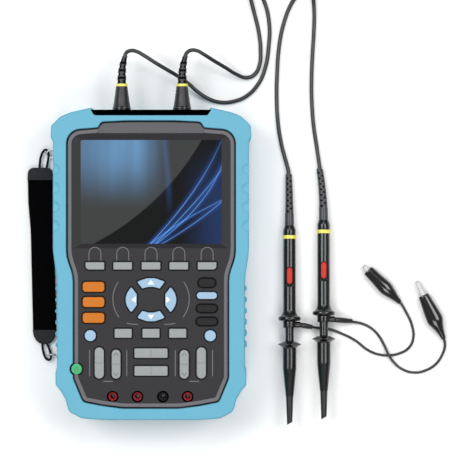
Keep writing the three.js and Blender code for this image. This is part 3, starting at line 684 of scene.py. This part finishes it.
def keep_side(piece, height, upper):
    """Cuts a piece level at a height and keeps the side above or below."""
    editing(piece)
    bpy.ops.mesh.select_all(action="SELECT")
    bpy.ops.mesh.bisect(
        plane_co=(0, 0, height * MM), plane_no=(0, 0, 1), use_fill=True,
        clear_inner=upper, clear_outer=not upper)
    done()


def clip_jaw(name, start, end, up):
    """A toothed channel that narrows to its tip. up is +1 for the upper jaw and -1 for the lower."""
    inner = SEAM + 0.15 * up
    outer = SEAM + 2.3 * up
    bpy.ops.object.select_all(action="DESELECT")
    bpy.ops.mesh.primitive_grid_add(x_subdivisions=1, y_subdivisions=14, size=1)
    piece = bpy.context.object
    piece.name = name
    piece.scale = (5.2 * MM, (end - start) * MM, 1)
    piece.location = (0, (start + end) / 2 * MM, inner * MM)
    bpy.ops.object.transform_apply()
    bpy.ops.object.mode_set(mode="EDIT")
    bpy.ops.mesh.select_all(action="SELECT")
    bpy.ops.mesh.extrude_region_move(TRANSFORM_OT_translate={"value": (0, 0, (outer - inner) * MM)})
    bpy.ops.transform.resize(value=(0.75, 1, 1), center_override=(0, start * MM, 0))
    bpy.ops.mesh.select_all(action="SELECT")
    bpy.ops.mesh.normals_make_consistent(inside=False)
    done()
    rows = sorted({round(v.co.y, 6) for v in piece.data.vertices})
    for vertex in piece.data.vertices:
        row = rows.index(round(vertex.co.y, 6))
        vertex.co.x *= 1 - 0.35 * row / (len(rows) - 1)
        if abs(vertex.co.z / MM - inner) < 0.01 and row % 2:
            vertex.co.z += 0.7 * up * MM
    rounded(piece, 0.12, 1, 50)
    return piece


for i, clip in enumerate(CLIPS):
    number = i + 1
    home = shift(*clip["tail"], 0) @ Matrix.Rotation(math.radians(clip["turn"]), 4, "Z")
    length, width = clip["length"], clip["width"]
    start, end = home @ Vector((0, 12 * MM, 0)), home @ Vector((0, 24 * MM, 0))

    lower = clip_boot(f"clip_boot_lower_{number}", length, width)
    keep_side(lower, SEAM, False)
    upper = clip_boot(f"clip_boot_upper_{number}", length, width)
    keep_side(upper, SEAM + 0.12, True)
    dress(smooth(moved(lower, home), 60), vinyl, "instrument")
    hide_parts(f"clip_body_{number}")
    dress(smooth(moved(upper, home), 60), vinyl, None)
    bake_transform(upper)

    fixed_jaw = clip_jaw(f"clip_fixed_jaw_{number}", length - 8, length + clip["jaw"], -1)
    dress(moved(fixed_jaw, home), nickel, "instrument")
    moving_jaw = clip_jaw(f"clip_moving_jaw_{number}", length - 8, length + clip["jaw"] - 0.4, 1)
    dress(moved(moving_jaw, home), nickel, f"jaw_{number}")
    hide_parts(f"clip_jaw_{number}")

# ---- Case ----
# Two moulded halves of dark grey ABS with a fine spark texture. The rear half has a recess for the
# stand, a battery opening and wells for six case screws.


def copy_of(node, name, clean=True, weld=0.001):
    """A copy of a frame node's mesh, with its triangles welded and, if clean, merged into flat faces."""
    piece = bpy.data.objects.new(name, frame["nodes"][node].data.copy())
    bpy.context.scene.collection.objects.link(piece)
    editing(piece)
    bpy.ops.mesh.select_all(action="SELECT")
    bpy.ops.mesh.remove_doubles(threshold=weld * MM)
    if clean:
        bpy.ops.mesh.dissolve_limited(angle_limit=math.radians(1))
    done()
    return piece


def disc(name, x, y, radius, low, high, sides=32):
    """A short upright cylinder."""
    turns = [2 * math.pi * k / sides for k in range(sides)]
    return plate(name, [(x + radius * math.cos(t), y + radius * math.sin(t)) for t in turns], low, high)


case_plastic = moulding(
    "case_plastic", paint(38, 36, 40), 0.55, vary=0.1, grain=3200, relief=0.04, shine=0.3
)
front = smooth(copy_of("front_case", "front_shell", clean=False), 12)
dress(front, case_plastic, "instrument")
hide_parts("front_case")

CASE_SCREWS = [(side * 55, y) for side in (-1, 1) for y in (104, 5, -103)]
COVER_SCREWS = [(-31, -86), (31, -86)]
rear = copy_of("rear_case", "rear_shell", clean=False)
for x, y in CASE_SCREWS:
    cut(rear, disc("well", x, y, 3.4, -1, 1.3))
dress(smooth(rear, 12), case_plastic, "instrument")
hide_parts("rear_case")

stand = rounded(copy_of("tilt_stand", "stand_panel"), 0.5, 3, 40)
dress(stand, case_plastic, "stand")
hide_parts("tilt_stand")

cover = copy_of("battery_cover", "battery_lid")
for x, y in COVER_SCREWS:
    cut(cover, disc("well", x, y, 3.4, -1, 0.9))
dress(rounded(cover, 0.25, 2, 40), case_plastic, "instrument")
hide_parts("battery_cover")

# Eight cross-head screws and two hinge pins for the stand, all of plated steel.

zinc = moulding("zinc_plate", paint(150, 152, 154), 0.32, vary=0.06, relief=0.005, metallic=1)
for k, (x, y) in enumerate(CASE_SCREWS + COVER_SCREWS):
    low, high = (0.35, 1.25) if k < len(CASE_SCREWS) else (0.25, 0.85)
    screw = rounded(disc(f"screw_{k + 1}", x, y, 2.8, low, high), 0.25, 2, 40)
    for wide, tall in ((3, 0.7), (0.7, 3)):
        cut(screw, plate("cross", outline(box_corners(x, y, wide, tall, 0)), low - 1, low + 0.45))
    dress(screw, zinc, "instrument")

HINGE_Y, HINGE_Z = 100, 2.2
for side, word in ((-1, "left"), (1, "right")):
    pin = turn(f"hinge_pin_{word}", [(0.85, 33.2), (1.05, 33.4), (1.05, 37.4), (0.85, 37.6)], 24)
    across = Matrix.Rotation(-side * math.pi / 2, 4, "Z")
    pin.data.transform(shift(0, HINGE_Y, HINGE_Z) @ across)
    dress(smooth(pin), zinc, "instrument")

# The parts inside keep their plain shapes. The two sockets on the board are of plated metal.

board_green = moulding("board_green", paint(24, 96, 52), 0.35, relief=0.01, coat=0.3)
battery_wrap = moulding("battery_wrap", paint(60, 66, 84), 0.4, relief=0.01)
inside = (("main_board", board_green), ("battery_pack", battery_wrap), ("lcd_module", steel))
for node, material in inside:
    frame["nodes"][node].data.materials.clear()
    frame["nodes"][node].data.materials.append(material)
board = frame["nodes"]["main_board"].data
board.materials.append(nickel)
for face in board.polygons:
    middle = face.center / MM
    above_or_below = not 33.8 < middle.z < 35.8
    if middle.y > 111.2 or middle.y > 100 and above_or_below:
        face.material_index = 1

# ---- Panel trim ----
# The panel ends in a rounded bead beside the sleeve, its light grey a painted highlight, and has a raised
# plate above the screen. Fine raised lines group the keys, and a near-black ring of painted shade runs
# round each key's hole.

PANEL_FACE = 49.5


def mirrored(half):
    """A whole outline from its right half, given from the top middle to the bottom middle."""
    return half + [(-x, y, radius) for x, y, radius in reversed(half) if x > 0]


def grown(points, amount):
    """A closed outline moved outwards by an amount, or inwards if it is negative."""
    area = sum(p[0] * q[1] - q[0] * p[1] for p, q in zip(points, points[1:] + points[:1]))
    way = amount * math.copysign(1, area)
    moved_points = []
    for k, point in enumerate(points):
        before = (Vector(point) - Vector(points[k - 1])).normalized()
        after = (Vector(points[(k + 1) % len(points)]) - Vector(point)).normalized()
        out = Vector((before.y + after.y, -before.x - after.x))
        moved_points.append(Vector(point) + out.normalized() * way / max(0.4, out.length / 2))
    return moved_points


def ring_plate(name, outer, inner, low, high):
    """A flat ring between two outlines."""
    ring = plate(name, outer, low, high)
    cut(ring, plate("inner", inner, low - 1, high + 1))
    return ring


PANEL = mirrored([
    (0, 118.9, 400), (40.6, 116.9, 4), (43.4, 112.2, 3), (69.2, 110.2, 12), (69.2, 7, 30),
    (63.7, -8.5, 30), (63.7, -92.5, 8), (55.6, -111.9, 5), (32, -116.4, 120), (0, -118.7, 300),
])
BEAD_OUTER = mirrored([
    (0, 117.8, 400), (40, 115.8, 3.5), (42.8, 111.1, 3.4), (68.1, 109.1, 11), (68.1, 7.3, 30),
    (62.6, -8.3, 30), (62.6, -92.2, 7), (54.9, -110.9, 4), (31.8, -115.3, 118), (0, -117.6, 300),
])
BEAD_INNER = mirrored([
    (0, 114.6, 400), (38.3, 112.8, 1), (41.1, 108.1, 7), (64.9, 106.2, 8), (64.9, 8, 33),
    (59.4, -7.6, 26), (59.4, -91.6, 4), (52.5, -108.1, 1), (31.4, -112.2, 115), (0, -114.4, 300),
])
panel_edge = outline(PANEL)
bead = ring_plate("panel_bead", outline(BEAD_OUTER), outline(BEAD_INNER), 48, 50.1)
rounded(bead, 0.5, 3, 50)
# The bead's grey is far lighter than the case plastic beside it: a painted highlight along the panel's
# edge.
bead_painted_highlight = moulding("bead_painted_highlight", paint(98, 96, 100), 0.42, vary=0.05, grain=3200, relief=0.03)
dress(bead, bead_painted_highlight, "instrument")

header = plate("header_plate", outline([
    (0, 117.6, 400), (40, 115.8, 4), (43.6, 111, 3), (43.6, 107.6, 2), (-43.6, 107.6, 2),
    (-43.6, 111, 3), (-40, 115.8, 4),
]), 49, 50.5)
rounded(header, 0.5, 3, 50)
header_plastic = moulding("header_plastic", paint(80, 79, 83), 0.45, vary=0.05, grain=3200, relief=0.03)
dress(header, header_plastic, "instrument")


def stripe(name, points, width, low=PANEL_FACE - 0.05, high=PANEL_FACE + 0.14):
    """A thin raised line along an open run of points."""
    near, far = [], []
    for k, point in enumerate(points):
        before = Vector(points[max(k - 1, 0)])
        after = Vector(points[min(k + 1, len(points) - 1)])
        along = (after - before).normalized()
        near.append(Vector(point) + Vector((-along.y, along.x)) * width / 2)
        far.append(Vector(point) - Vector((-along.y, along.x)) * width / 2)
    return plate(name, near + far[::-1], low, high)


def arc(middle, radius, start, end, steps=14):
    """Points on a circle from one angle to another, in degrees."""
    turns = [math.radians(start + (end - start) * k / steps) for k in range(steps + 1)]
    return [(middle[0] + radius * math.cos(t), middle[1] + radius * math.sin(t)) for t in turns]


SOFT_X = (-45.8, -23.1, 0, 22.7, 45.8)
lines = []
for x in SOFT_X:
    top = arc((x, 9.6), 4.9, 180, 0)
    lines.append(stripe("arch", [(x - 4.9, 3.6), (x - 4.9, 9.6), *top, (x + 4.9, 3.6)], 0.75))
for side in (-1, 1):
    ends = (218, 144) if side < 0 else (-38, 36)
    lines.append(stripe("pad_arc", arc((side * 7.2, -27.8), 24, *ends, 20), 0.8))
    lines.append(stripe("pad_dash", [(side * 19.8, -47.6), (side * 16, -48.3), (side * 10.8, -48.5)], 0.8))
    for x in (side * 19.8, side * 50.2):
        lines.append(stripe("frame_side", [(x, -69.5), (x, -80), (x, -90.8)], 0.8))
    lines.append(stripe("frame_foot", [(side * 31.2, -95), (side * 35, -95), (side * 39.2, -95)], 0.85))
trim = joined(*lines)
trim.name = "panel_lines"
line_grey = moulding("line_grey", paint(98, 96, 100), 0.45, vary=0.04, relief=0.005)
dress(trim, line_grey, "instrument")

dot = disc("panel_dot", 0.2, -114.2, 0.6, PANEL_FACE - 0.1, PANEL_FACE + 0.05, 16)
print_white = moulding("print_white", paint(246, 250, 252), 0.6, vary=0.02, relief=0.005)
dress(dot, print_white, "instrument")

# ---- Rubber sleeve ----
# One thick moulding of sky blue rubber, stretched over both halves. It has bumpers at the corners,
# ribs low on each side and shallow finger dips above them.

SLEEVE = mirrored([
    (0, 127.1, 500), (45.3, 123.8, 1), (48.4, 128.6, 1.5), (66.1, 124.6, 8), (73.8, 121.3, 3),
    (81.4, 113.9, 3), (82, 104.5, 3), (80, 100.6, 1.5), (80, 11, 40), (76.7, -11, 40), (76.7, -83.5, 3),
    (77.9, -87.5, 3), (77.9, -97.6, 3), (73.4, -103.3, 3), (69.8, -109.5, 4), (67.2, -119.6, 7),
    (56.8, -125.1, 8), (0, -129.6, 500),
])
CASE = mirrored([
    (0, 121.8, 400), (73.6, 115, 15), (73.6, 5, 30), (69.5, -10, 30), (69.5, -94.5, 8), (59.5, -116, 7),
    (0, -122.6, 400),
])
SLEEVE_TOP = 53.3
POWER_KEY = (-60.7, -84.8)
FINGER_DIPS = (80.8, 65.3, 50.2, 34.6)
RIBS = [-19.3 - 9.2 * k for k in range(6)]

sleeve_rubber = moulding(
    "sleeve_rubber", paint(94, 169, 194), 0.5, vary=0.05, grain=2200, relief=0.03, blotch=40
)
sleeve = rounded(plate("sleeve_skin", outline(SLEEVE), 0, SLEEVE_TOP), 1.8, 4, 50)
for side in (-1, 1):
    for y in FINGER_DIPS:
        cut(sleeve, rounded(disc("dip", side * 93, y, 14.2, 9, 47.3, 96), 1.2, 3, 50))
        bpy.ops.mesh.primitive_uv_sphere_add(
            segments=48, ring_count=24, radius=MM, location=(side * 80.6 * MM, (y - 2.6) * MM, 54 * MM))
        scoop = bpy.context.object
        scoop.scale = (6.8, 5.6, 2)
        cut(sleeve, scoop)
cut(sleeve, plate("opening", panel_edge, 46, 60))
cut(sleeve, disc("notch", *POWER_KEY, 5.6, 46, 60, 48))
cut(sleeve, plate("cavity", grown(outline(CASE), 0.3), 3, 46.3))
cut(sleeve, plate("back_opening", grown(outline(CASE), -3.7), -1, 4))
for x in SOCKET_X:
    bore = turn("bore", [(9, 105), (9, 140)], 48)
    cut(sleeve, moved(bore, shift(x, 0, SOCKET_Z)))


def beside(point, loop, reach=0.3):
    """Whether a point lies on a closed outline, seen from above."""
    for start, end in zip(loop, loop[1:] + loop[:1]):
        run = Vector(end) - Vector(start)
        along = max(0, min(1, (point - Vector(start)).dot(run) / max(run.length_squared, 1e-9)))
        if (Vector(start) + run * along - point).length < reach:
            return True
    return False


notch_edge = arc(POWER_KEY, 5.6, 0, 360, 48)
editing(sleeve)
bpy.ops.mesh.select_mode(type="EDGE")
done()
for edge in sleeve.data.edges:
    ends = [sleeve.data.vertices[k].co / MM for k in edge.vertices]
    at_lip = min(end.z for end in ends) > SLEEVE_TOP - 0.05
    edge.select = at_lip and all(beside(end.xy, panel_edge) or beside(end.xy, notch_edge) for end in ends)
bpy.ops.object.mode_set(mode="EDIT")
bpy.ops.mesh.bevel(offset=1 * MM, segments=3, affect="EDGES")
done()
ribs = []
for side in (-1, 1):
    ribs += [rounded(disc("rib", side * 76, y, 2.4, 9, 47.3), 0.8, 2, 50) for y in RIBS]
dress(smooth(joined(*ribs, sleeve), 25), sleeve_rubber, "instrument")
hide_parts("rubber_sleeve")

# ---- Display ----
# A flat window of hard-coated acrylic bonded to the display. The picture is a start screen with a
# blue glow at the upper left and thin light trails at the lower right. A broad pale reflection is
# painted into the picture's light over the upper left, up to a long arc.


def display_picture():
    material = bpy.data.materials.new("display_picture")
    material.use_nodes = True
    nodes, links = material.node_tree.nodes, material.node_tree.links
    shader = nodes["Principled BSDF"]
    settle(shader, Base_Color=paint(14, 15, 16), Roughness=0.1, Emission_Strength=1)
    place = nodes.new("ShaderNodeTexCoord")
    split = nodes.new("ShaderNodeSeparateXYZ")
    links.new(place.outputs["Object"], split.inputs["Vector"])
    across, up = split.outputs["X"], split.outputs["Y"]

    def compute(operation, first, second=0):
        node = nodes.new("ShaderNodeMath")
        node.operation = operation
        for socket, value in zip(node.inputs, (first, second)):
            if isinstance(value, (int, float)):
                socket.default_value = value
            else:
                links.new(value, socket)
        return node.outputs["Value"]

    def fade(value, low, high):
        """0 below low and 1 above high, with a soft step between, in mm."""
        node = nodes.new("ShaderNodeMapRange")
        node.interpolation_type = "SMOOTHSTEP"
        settle(node, From_Min=low * MM, From_Max=high * MM)
        links.new(value, node.inputs["Value"])
        return node.outputs["Result"]

    def away(x, y):
        """The distance from a point of the screen."""
        sideways = compute("POWER", compute("SUBTRACT", across, x * MM), 2)
        upwards = compute("POWER", compute("SUBTRACT", up, y * MM), 2)
        return compute("SQRT", compute("ADD", sideways, upwards))

    def trail(x, slope, bow, width):
        """A thin line that rises to the right from the screen's lower edge."""
        height = compute("DIVIDE", compute("SUBTRACT", up, 17 * MM), MM)
        straight = compute("MULTIPLY", height, slope)
        curve = compute("ADD", straight, compute("MULTIPLY", compute("POWER", height, 2), bow))
        line = compute("ADD", compute("MULTIPLY", curve, MM), x * MM)
        off = compute("ABSOLUTE", compute("SUBTRACT", across, line))
        return compute("SUBTRACT", 1, fade(off, 0, width))

    layers = []

    def layer(mask, red, green, blue):
        tint = nodes.new("ShaderNodeVectorMath")
        tint.operation = "SCALE"
        tint.inputs[0].default_value = paint(red, green, blue)[:3]
        links.new(mask, tint.inputs["Scale"])
        layers.append(tint.outputs["Vector"])

    curtain = nodes.new("ShaderNodeTexNoise")
    settle(curtain, Scale=75, Detail=1)
    squeeze = nodes.new("ShaderNodeMapping")
    settle(squeeze, Scale=(1, 0.06, 0))
    links.new(place.outputs["Object"], squeeze.inputs["Vector"])
    links.new(squeeze.outputs["Vector"], curtain.inputs["Vector"])
    folds = compute("ADD", compute("MULTIPLY", curtain.outputs["Fac"], 0.9), 0.45)
    left_edge = compute("ADD", compute("MULTIPLY", fade(across, -60, -38), 0.35), 0.65)
    glow = compute("MULTIPLY", fade(up, 44, 96), compute("SUBTRACT", 1, fade(across, -14, 16)))
    glow = compute("MULTIPLY", compute("MULTIPLY", glow, folds), left_edge)
    # A painted reflection: pale grey light added to the picture over the upper left, inside a long arc.
    painted_reflection = compute("SUBTRACT", 1, fade(away(-146, 209), 214.9, 216.1))
    haze = compute("MULTIPLY", fade(across, 20, 60), compute("SUBTRACT", 1, fade(up, 50, 105)))
    ray = compute("MULTIPLY", trail(15, 0.02, -0.0008, 4), fade(up, 36, 70))
    layer(glow, 82, 132, 176)
    layer(painted_reflection, 60, 62, 61)
    layer(haze, 24, 48, 92)
    layer(ray, 24, 50, 92)
    reach = compute("SUBTRACT", 1, compute("MULTIPLY", fade(away(16, 30), 16, 96), 0.75))
    for x, slope, bow in (
        (-1.2, 0.964, -0.0032), (4, 1.322, -0.0076), (8.2, 1.716, -0.0084), (-0.4, 1.17, 0.0125),
        (3, 1.02, -0.002),
    ):
        layer(compute("MULTIPLY", trail(x, slope, bow, 0.75), reach), 92, 142, 190)
        layer(compute("MULTIPLY", trail(x, slope, bow, 5), reach), 20, 52, 106)
    total = layers[0]
    for other in layers[1:]:
        both = nodes.new("ShaderNodeVectorMath")
        both.operation = "ADD"
        links.new(total, both.inputs[0])
        links.new(other, both.inputs[1])
        total = both.outputs["Vector"]
    links.new(total, shader.inputs["Emission Color"])
    return material


window = frame["nodes"]["display_window"]
window.data.materials.clear()
window.data.materials.append(display_picture())

# ---- Keys ----
# Silicone caps with rounded tops, each in its own hole in the panel. Most are mid grey, the mode
# keys orange, and the navigation keys pale blue with a white arrow. A rocker has a groove across.

KEY_TOP = 51.5
silicone = {
    "grey_key": moulding(
        "silicone_grey", paint(146, 150, 151), 0.55, vary=0.14, grain=1500, relief=0.03, blotch=900),
    "orange_key": moulding(
        "silicone_orange", paint(198, 110, 4), 0.5, vary=0.05, grain=2200, shine=0.35),
    "blue_key": moulding("silicone_blue", paint(150, 182, 208), 0.5, vary=0.04, grain=2200),
    "dark_key": moulding("silicone_dark", paint(11, 11, 13), 0.5, vary=0.1, grain=2200, shine=0.3),
    "power_key": moulding("silicone_green", paint(62, 172, 112), 0.45, vary=0.05, grain=2200),
}
GROOVES = {"rocker": (9, 0.7), "wide": (0.7, 12)}  # width and height of the groove in each rocker

slot_of = {row["node"]: row["material_slot"] for row in frame["record"]["subparts"]}
body_of = {node: body for body, nodes in frame["record"]["behaviour"]["bodies"].items() for node in nodes}
key_nodes = sorted(node for node in slot_of if slot_of[node] in silicone)
hole_shades = []
for node in key_nodes:
    cap = copy_of(node, f"{node}_cap", weld=0.06)
    keep_side(cap, 46.9, True)
    top = max(cap.data.polygons, key=lambda face: face.normal.z * 1000 + face.area)
    edge = [cap.data.vertices[k].co.xy / MM for k in top.vertices]
    # A near-black ring on the panel round the key's hole: painted shade standing in for the dark gap round
    # the key.
    hole_shades.append(ring_plate("hole_shade", grown(edge, 1.2), grown(edge, 0.3), 49, PANEL_FACE + 0.1))
    rounded(cap, 0.55, 3, 50)
    low, high = (Vector(corner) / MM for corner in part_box(node))
    middle = (low + high) / 2
    for word, size in GROOVES.items():
        if word in node:
            groove = outline(box_corners(middle.x, middle.y, *size, 0))
            cut(cap, plate("groove", groove, KEY_TOP - 0.6, KEY_TOP + 1))
    dress(cap, silicone[slot_of[node]], body_of[node])
    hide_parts(node)
hole_shade = joined(*hole_shades)
hole_shade.name = "key_hole_shades"
# Near black for the rings round the key holes: painted shade.
hole_shade_black = moulding("hole_shade_black", paint(8, 8, 9), 0.6, vary=0.1, relief=0.01, shine=0.2)
dress(hole_shade, hole_shade_black, "instrument")

# White arrows are printed on the navigation keys, grey chevrons on two rockers, and a broken ring
# with a bar on the power key.

print_grey = moulding("print_grey", paint(96, 100, 102), 0.6, vary=0.02, relief=0.005)


def printed(mark, node, material):
    """A flat mark that moves with its key."""
    return dress(mark, material, body_of[node])


PRINT = (KEY_TOP - 0.05, KEY_TOP + 0.06)
ARROW = ((0, 15.9), (-2.7, 12.4), (2.7, 12.4))
RING_MIDDLE = Vector((0, -28.2))
for node, way in (("key_up", 0), ("key_left", 90), ("key_down", 180), ("key_right", 270)):
    turned = Matrix.Rotation(math.radians(way), 2)
    arrow = [turned @ Vector(point) + RING_MIDDLE for point in ARROW]
    printed(plate(f"arrow_{node}", arrow, *PRINT), node, print_white)

for node in ("key_rocker_2", "key_rocker_3"):
    low, high = (Vector(corner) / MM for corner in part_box(node))
    x = (low.x + high.x) / 2
    for side, sign, y in (("up", 1, high.y - 4.9), ("down", -1, low.y + 4.9)):
        bend = [(x - 1.7, y - sign * 1.2), (x, y + sign * 1.2), (x + 1.7, y - sign * 1.2)]
        printed(stripe(f"chevron_{node}_{side}", bend, 0.6, *PRINT), node, print_grey)

power_mark = stripe("power_ring", arc((-60.7, -84.9), 1.7, 125, 415, 20), 0.45, *PRINT)
power_bar = stripe("power_bar", [(-60.7, -84.5), (-60.7, -83.6), (-60.7, -82.6)], 0.45, *PRINT)
print_green = moulding("print_green", paint(36, 128, 82), 0.6, vary=0.02, relief=0.005)
for mark in (power_mark, power_bar):
    printed(mark, "key_power", print_green)

# ---- Meter jacks ----
# Four shrouded 4 mm sockets in one moulded block behind the panel. Three shrouds are dark red and
# the common one is black, each with a rounded lip and a plated contact down inside.

JACK_X = (-31.4, -11.1, 9.7, 29.9)
JACK_Y = -107.5

block = copy_of("jack_block", "jack_base", clean=False)
keep_side(block, 30.7, False)
jack_black = moulding("jack_black", paint(26, 26, 28), 0.4, relief=0.01, coat=0.3)
dress(smooth(block, 30), jack_black, "instrument")
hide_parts("jack_block")
jack_red = moulding("jack_red", paint(158, 34, 38), 0.3, vary=0.08, relief=0.01, coat=0.5)
jack_dark = moulding("jack_dark", paint(30, 29, 31), 0.3, vary=0.08, relief=0.01, coat=0.5)
for k, x in enumerate(JACK_X):
    shroud = turn(f"jack_shroud_{k + 1}", [
        (3.55, 30.6), (3.55, 47.7), (3.4, 48.2), (3.1, 48.45), (2.85, 48.35), (2.65, 48.1), (2.55, 47.6),
        (2.55, 46), (2.05, 45.6), (2, 31.5), (0, 31.5),
    ], 40)
    contact = turn(f"jack_contact_{k + 1}", [(1.9, 31.6), (1.9, 35), (1.5, 35.3), (1.5, 33), (0, 33)], 28)
    home = shift(x, JACK_Y, 0) @ Matrix.Rotation(math.pi / 2, 4, "X")
    for piece, material in ((shroud, jack_dark if k == 2 else jack_red), (contact, nickel)):
        piece.data.transform(home)
        dress(smooth(piece), material, "instrument")

# ---- Hand strap ----
# A black padded handle with a charcoal binding sewn over each end. A loop of black cord at each
# end hangs it from a steel wire ring on the case.

STRAP_LOW, STRAP_HIGH = 0.6, 5.4


def loft(name, stations, sides=40, squareness=0.55):
    """A soft bar along Y. Each station is y, left side, right side, lowest and highest point."""
    piece = open_ring(name, sides)
    for vertex in piece.data.vertices:
        x, z = vertex.co.x / MM, vertex.co.z / MM
        vertex.co.x = math.copysign(abs(x) ** squareness, x) * MM
        vertex.co.z = math.copysign(abs(z) ** squareness, z) * MM
    edit_points()
    before = None
    for y, left, right, low, high in stations:
        middle = Vector(((left + right) / 2, y, (low + high) / 2)) * MM
        size = ((right - left) / 2, 1, (high - low) / 2)
        if before:
            bpy.ops.mesh.extrude_region_move(TRANSFORM_OT_translate={"value": middle - before[0]})
            bpy.ops.transform.resize(
                value=(size[0] / before[1][0], 1, size[2] / before[1][2]), center_override=middle)
        else:
            bpy.ops.transform.resize(value=size, center_override=(0, 0, 0))
            bpy.ops.transform.translate(value=middle)
        before = (middle, size)
    close_ends()
    return smooth(piece, 60)


pad_fabric = moulding(
    "pad_fabric", paint(7, 7, 8), 0.95, vary=0.3, grain=2400, relief=0.12, blotch=600, shine=0
)
binding = moulding(
    "binding", paint(46, 46, 48), 0.9, vary=0.5, grain=1600, relief=0.2, blotch=1100, shine=0.1
)
cord_black = moulding("cord_black", paint(12, 12, 13), 0.8, vary=0.3, grain=1900, relief=0.12, shine=0.2)

pad_stations = []
for k in range(25):
    y = 73 - 130 * k / 24
    t = (y + 57) / 130
    left = -99.9 - 3.1 * t - 1.4 * max(0, min(1, (t - 0.66) / 0.16))
    right = -80.6 - 2.6 * t + 0.25 * math.sin(9 * t)
    ripple = 0.12 * math.sin(31 * t) + 0.08 * math.sin(53 * t)
    pad_stations.append((y, left, right, STRAP_LOW, STRAP_HIGH - 0.25 + ripple))
pad = loft("strap_pad", pad_stations)
dress(pad, pad_fabric, "strap")
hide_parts("hand_strap")
top_binding = loft("strap_binding_upper", [
    (70.4, -104.3, -83.3, 0.5, 5.5), (70.9, -104.6, -83.1, 0.3, 5.7), (76.8, -104.2, -83.6, 0.5, 5.6),
    (78.9, -103.2, -84.6, 0.9, 5.2), (80.2, -101.6, -86.2, 1.4, 4.7), (80.7, -100, -88, 1.9, 4.2),
], squareness=0.3)
low_binding = loft("strap_binding_lower", [
    (-54.6, -99.9, -80.5, 0.5, 5.5), (-55.1, -100.1, -80.3, 0.3, 5.7), (-59.5, -99.4, -80.9, 0.5, 5.6),
    (-63.2, -97.4, -82.8, 0.9, 5.2), (-65.5, -94.8, -85.4, 1.4, 4.7), (-66.4, -92.6, -87.6, 1.9, 4.2),
], squareness=0.3)
for piece in (top_binding, low_binding):
    dress(piece, binding, "strap")

upper_loop = wire("strap_loop_upper", [
    (-94.6, 76, 3.2), (-94.3, 84, 3.3), (-93.3, 90, 3.5), (-91, 94.6, 3.7), (-88.9, 95.6, 3.8),
    (-87.3, 93.6, 3.7), (-87.2, 88.5, 3.5), (-88.4, 82, 3.3), (-89.6, 76, 3.2),
], 1.9)
lower_loop = wire("strap_loop_lower", [
    (-92.2, -62, 3.2), (-92, -69, 3.3), (-90.6, -75.4, 3.5), (-88.4, -79, 3.6), (-85.9, -79.3, 3.7),
    (-84.9, -76.6, 3.6), (-86, -71.6, 3.4), (-88.2, -66, 3.3), (-89, -62, 3.2),
], 1.9)
for piece in (upper_loop, lower_loop):
    dress(piece, cord_black, "strap")

for name, place, tilt in (
    ("strap_ring_upper", (-85.1, 92, 4.2), (math.radians(12), 0, 0)),
    ("strap_ring_lower", (-83.9, -75.4, 4.6), (math.radians(82), 0, 0)),
):
    bpy.ops.mesh.primitive_torus_add(
        major_radius=3.3 * MM, minor_radius=0.6 * MM, major_segments=48, minor_segments=12,
        location=Vector(place) * MM, rotation=tilt)
    ring = bpy.context.object
    ring.name = name
    bpy.ops.object.transform_apply()
    dress(smooth(ring), nickel, "strap")

# ---- Floor and light ----
# A plain white table top under four broad soft lamps. The white sky lights the scene only dimly,
# but the camera sees it at full strength.

bpy.ops.object.select_all(action="DESELECT")
bpy.ops.mesh.primitive_plane_add(size=8, location=(0, 0, 0))
floor = bpy.context.object
floor.name = "table_top"
floor_paint = bpy.data.materials.new("table_white")
floor_paint.use_nodes = True
settle(floor_paint.node_tree.nodes["Principled BSDF"], Base_Color=(0.95, 0.95, 0.95, 1), Roughness=0.9)
floor.data.materials.append(floor_paint)

world = bpy.data.worlds.new("studio")
bpy.context.scene.world = world
world.use_nodes = True
sky, links = world.node_tree.nodes["Background"], world.node_tree.links
settle(sky, Color=(1, 1, 1, 1))
sight = world.node_tree.nodes.new("ShaderNodeLightPath")
strength = world.node_tree.nodes.new("ShaderNodeMapRange")
settle(strength, To_Min=0.22, To_Max=1)
links.new(sight.outputs["Is Camera Ray"], strength.inputs["Value"])
links.new(strength.outputs["Result"], sky.inputs["Strength"])
bpy.context.scene.view_settings.view_transform = "Standard"

LAMPS = (((-1.15, 0.5, 2.1), 25), ((1.3, 0.4, 2.1), 20), ((0.1, 1.3, 2.1), 13), ((0.1, -1.2, 2.1), 16))
for place, power in LAMPS:
    bpy.ops.object.light_add(type="AREA", location=place)
    lamp = bpy.context.object
    lamp.data.size = 1.1
    lamp.data.energy = power
    lamp.rotation_euler = (Vector((0.07, 0.02, 0)) - Vector(place)).to_track_quat("-Z", "Y").to_euler()

bpy.context.view_layer.update()
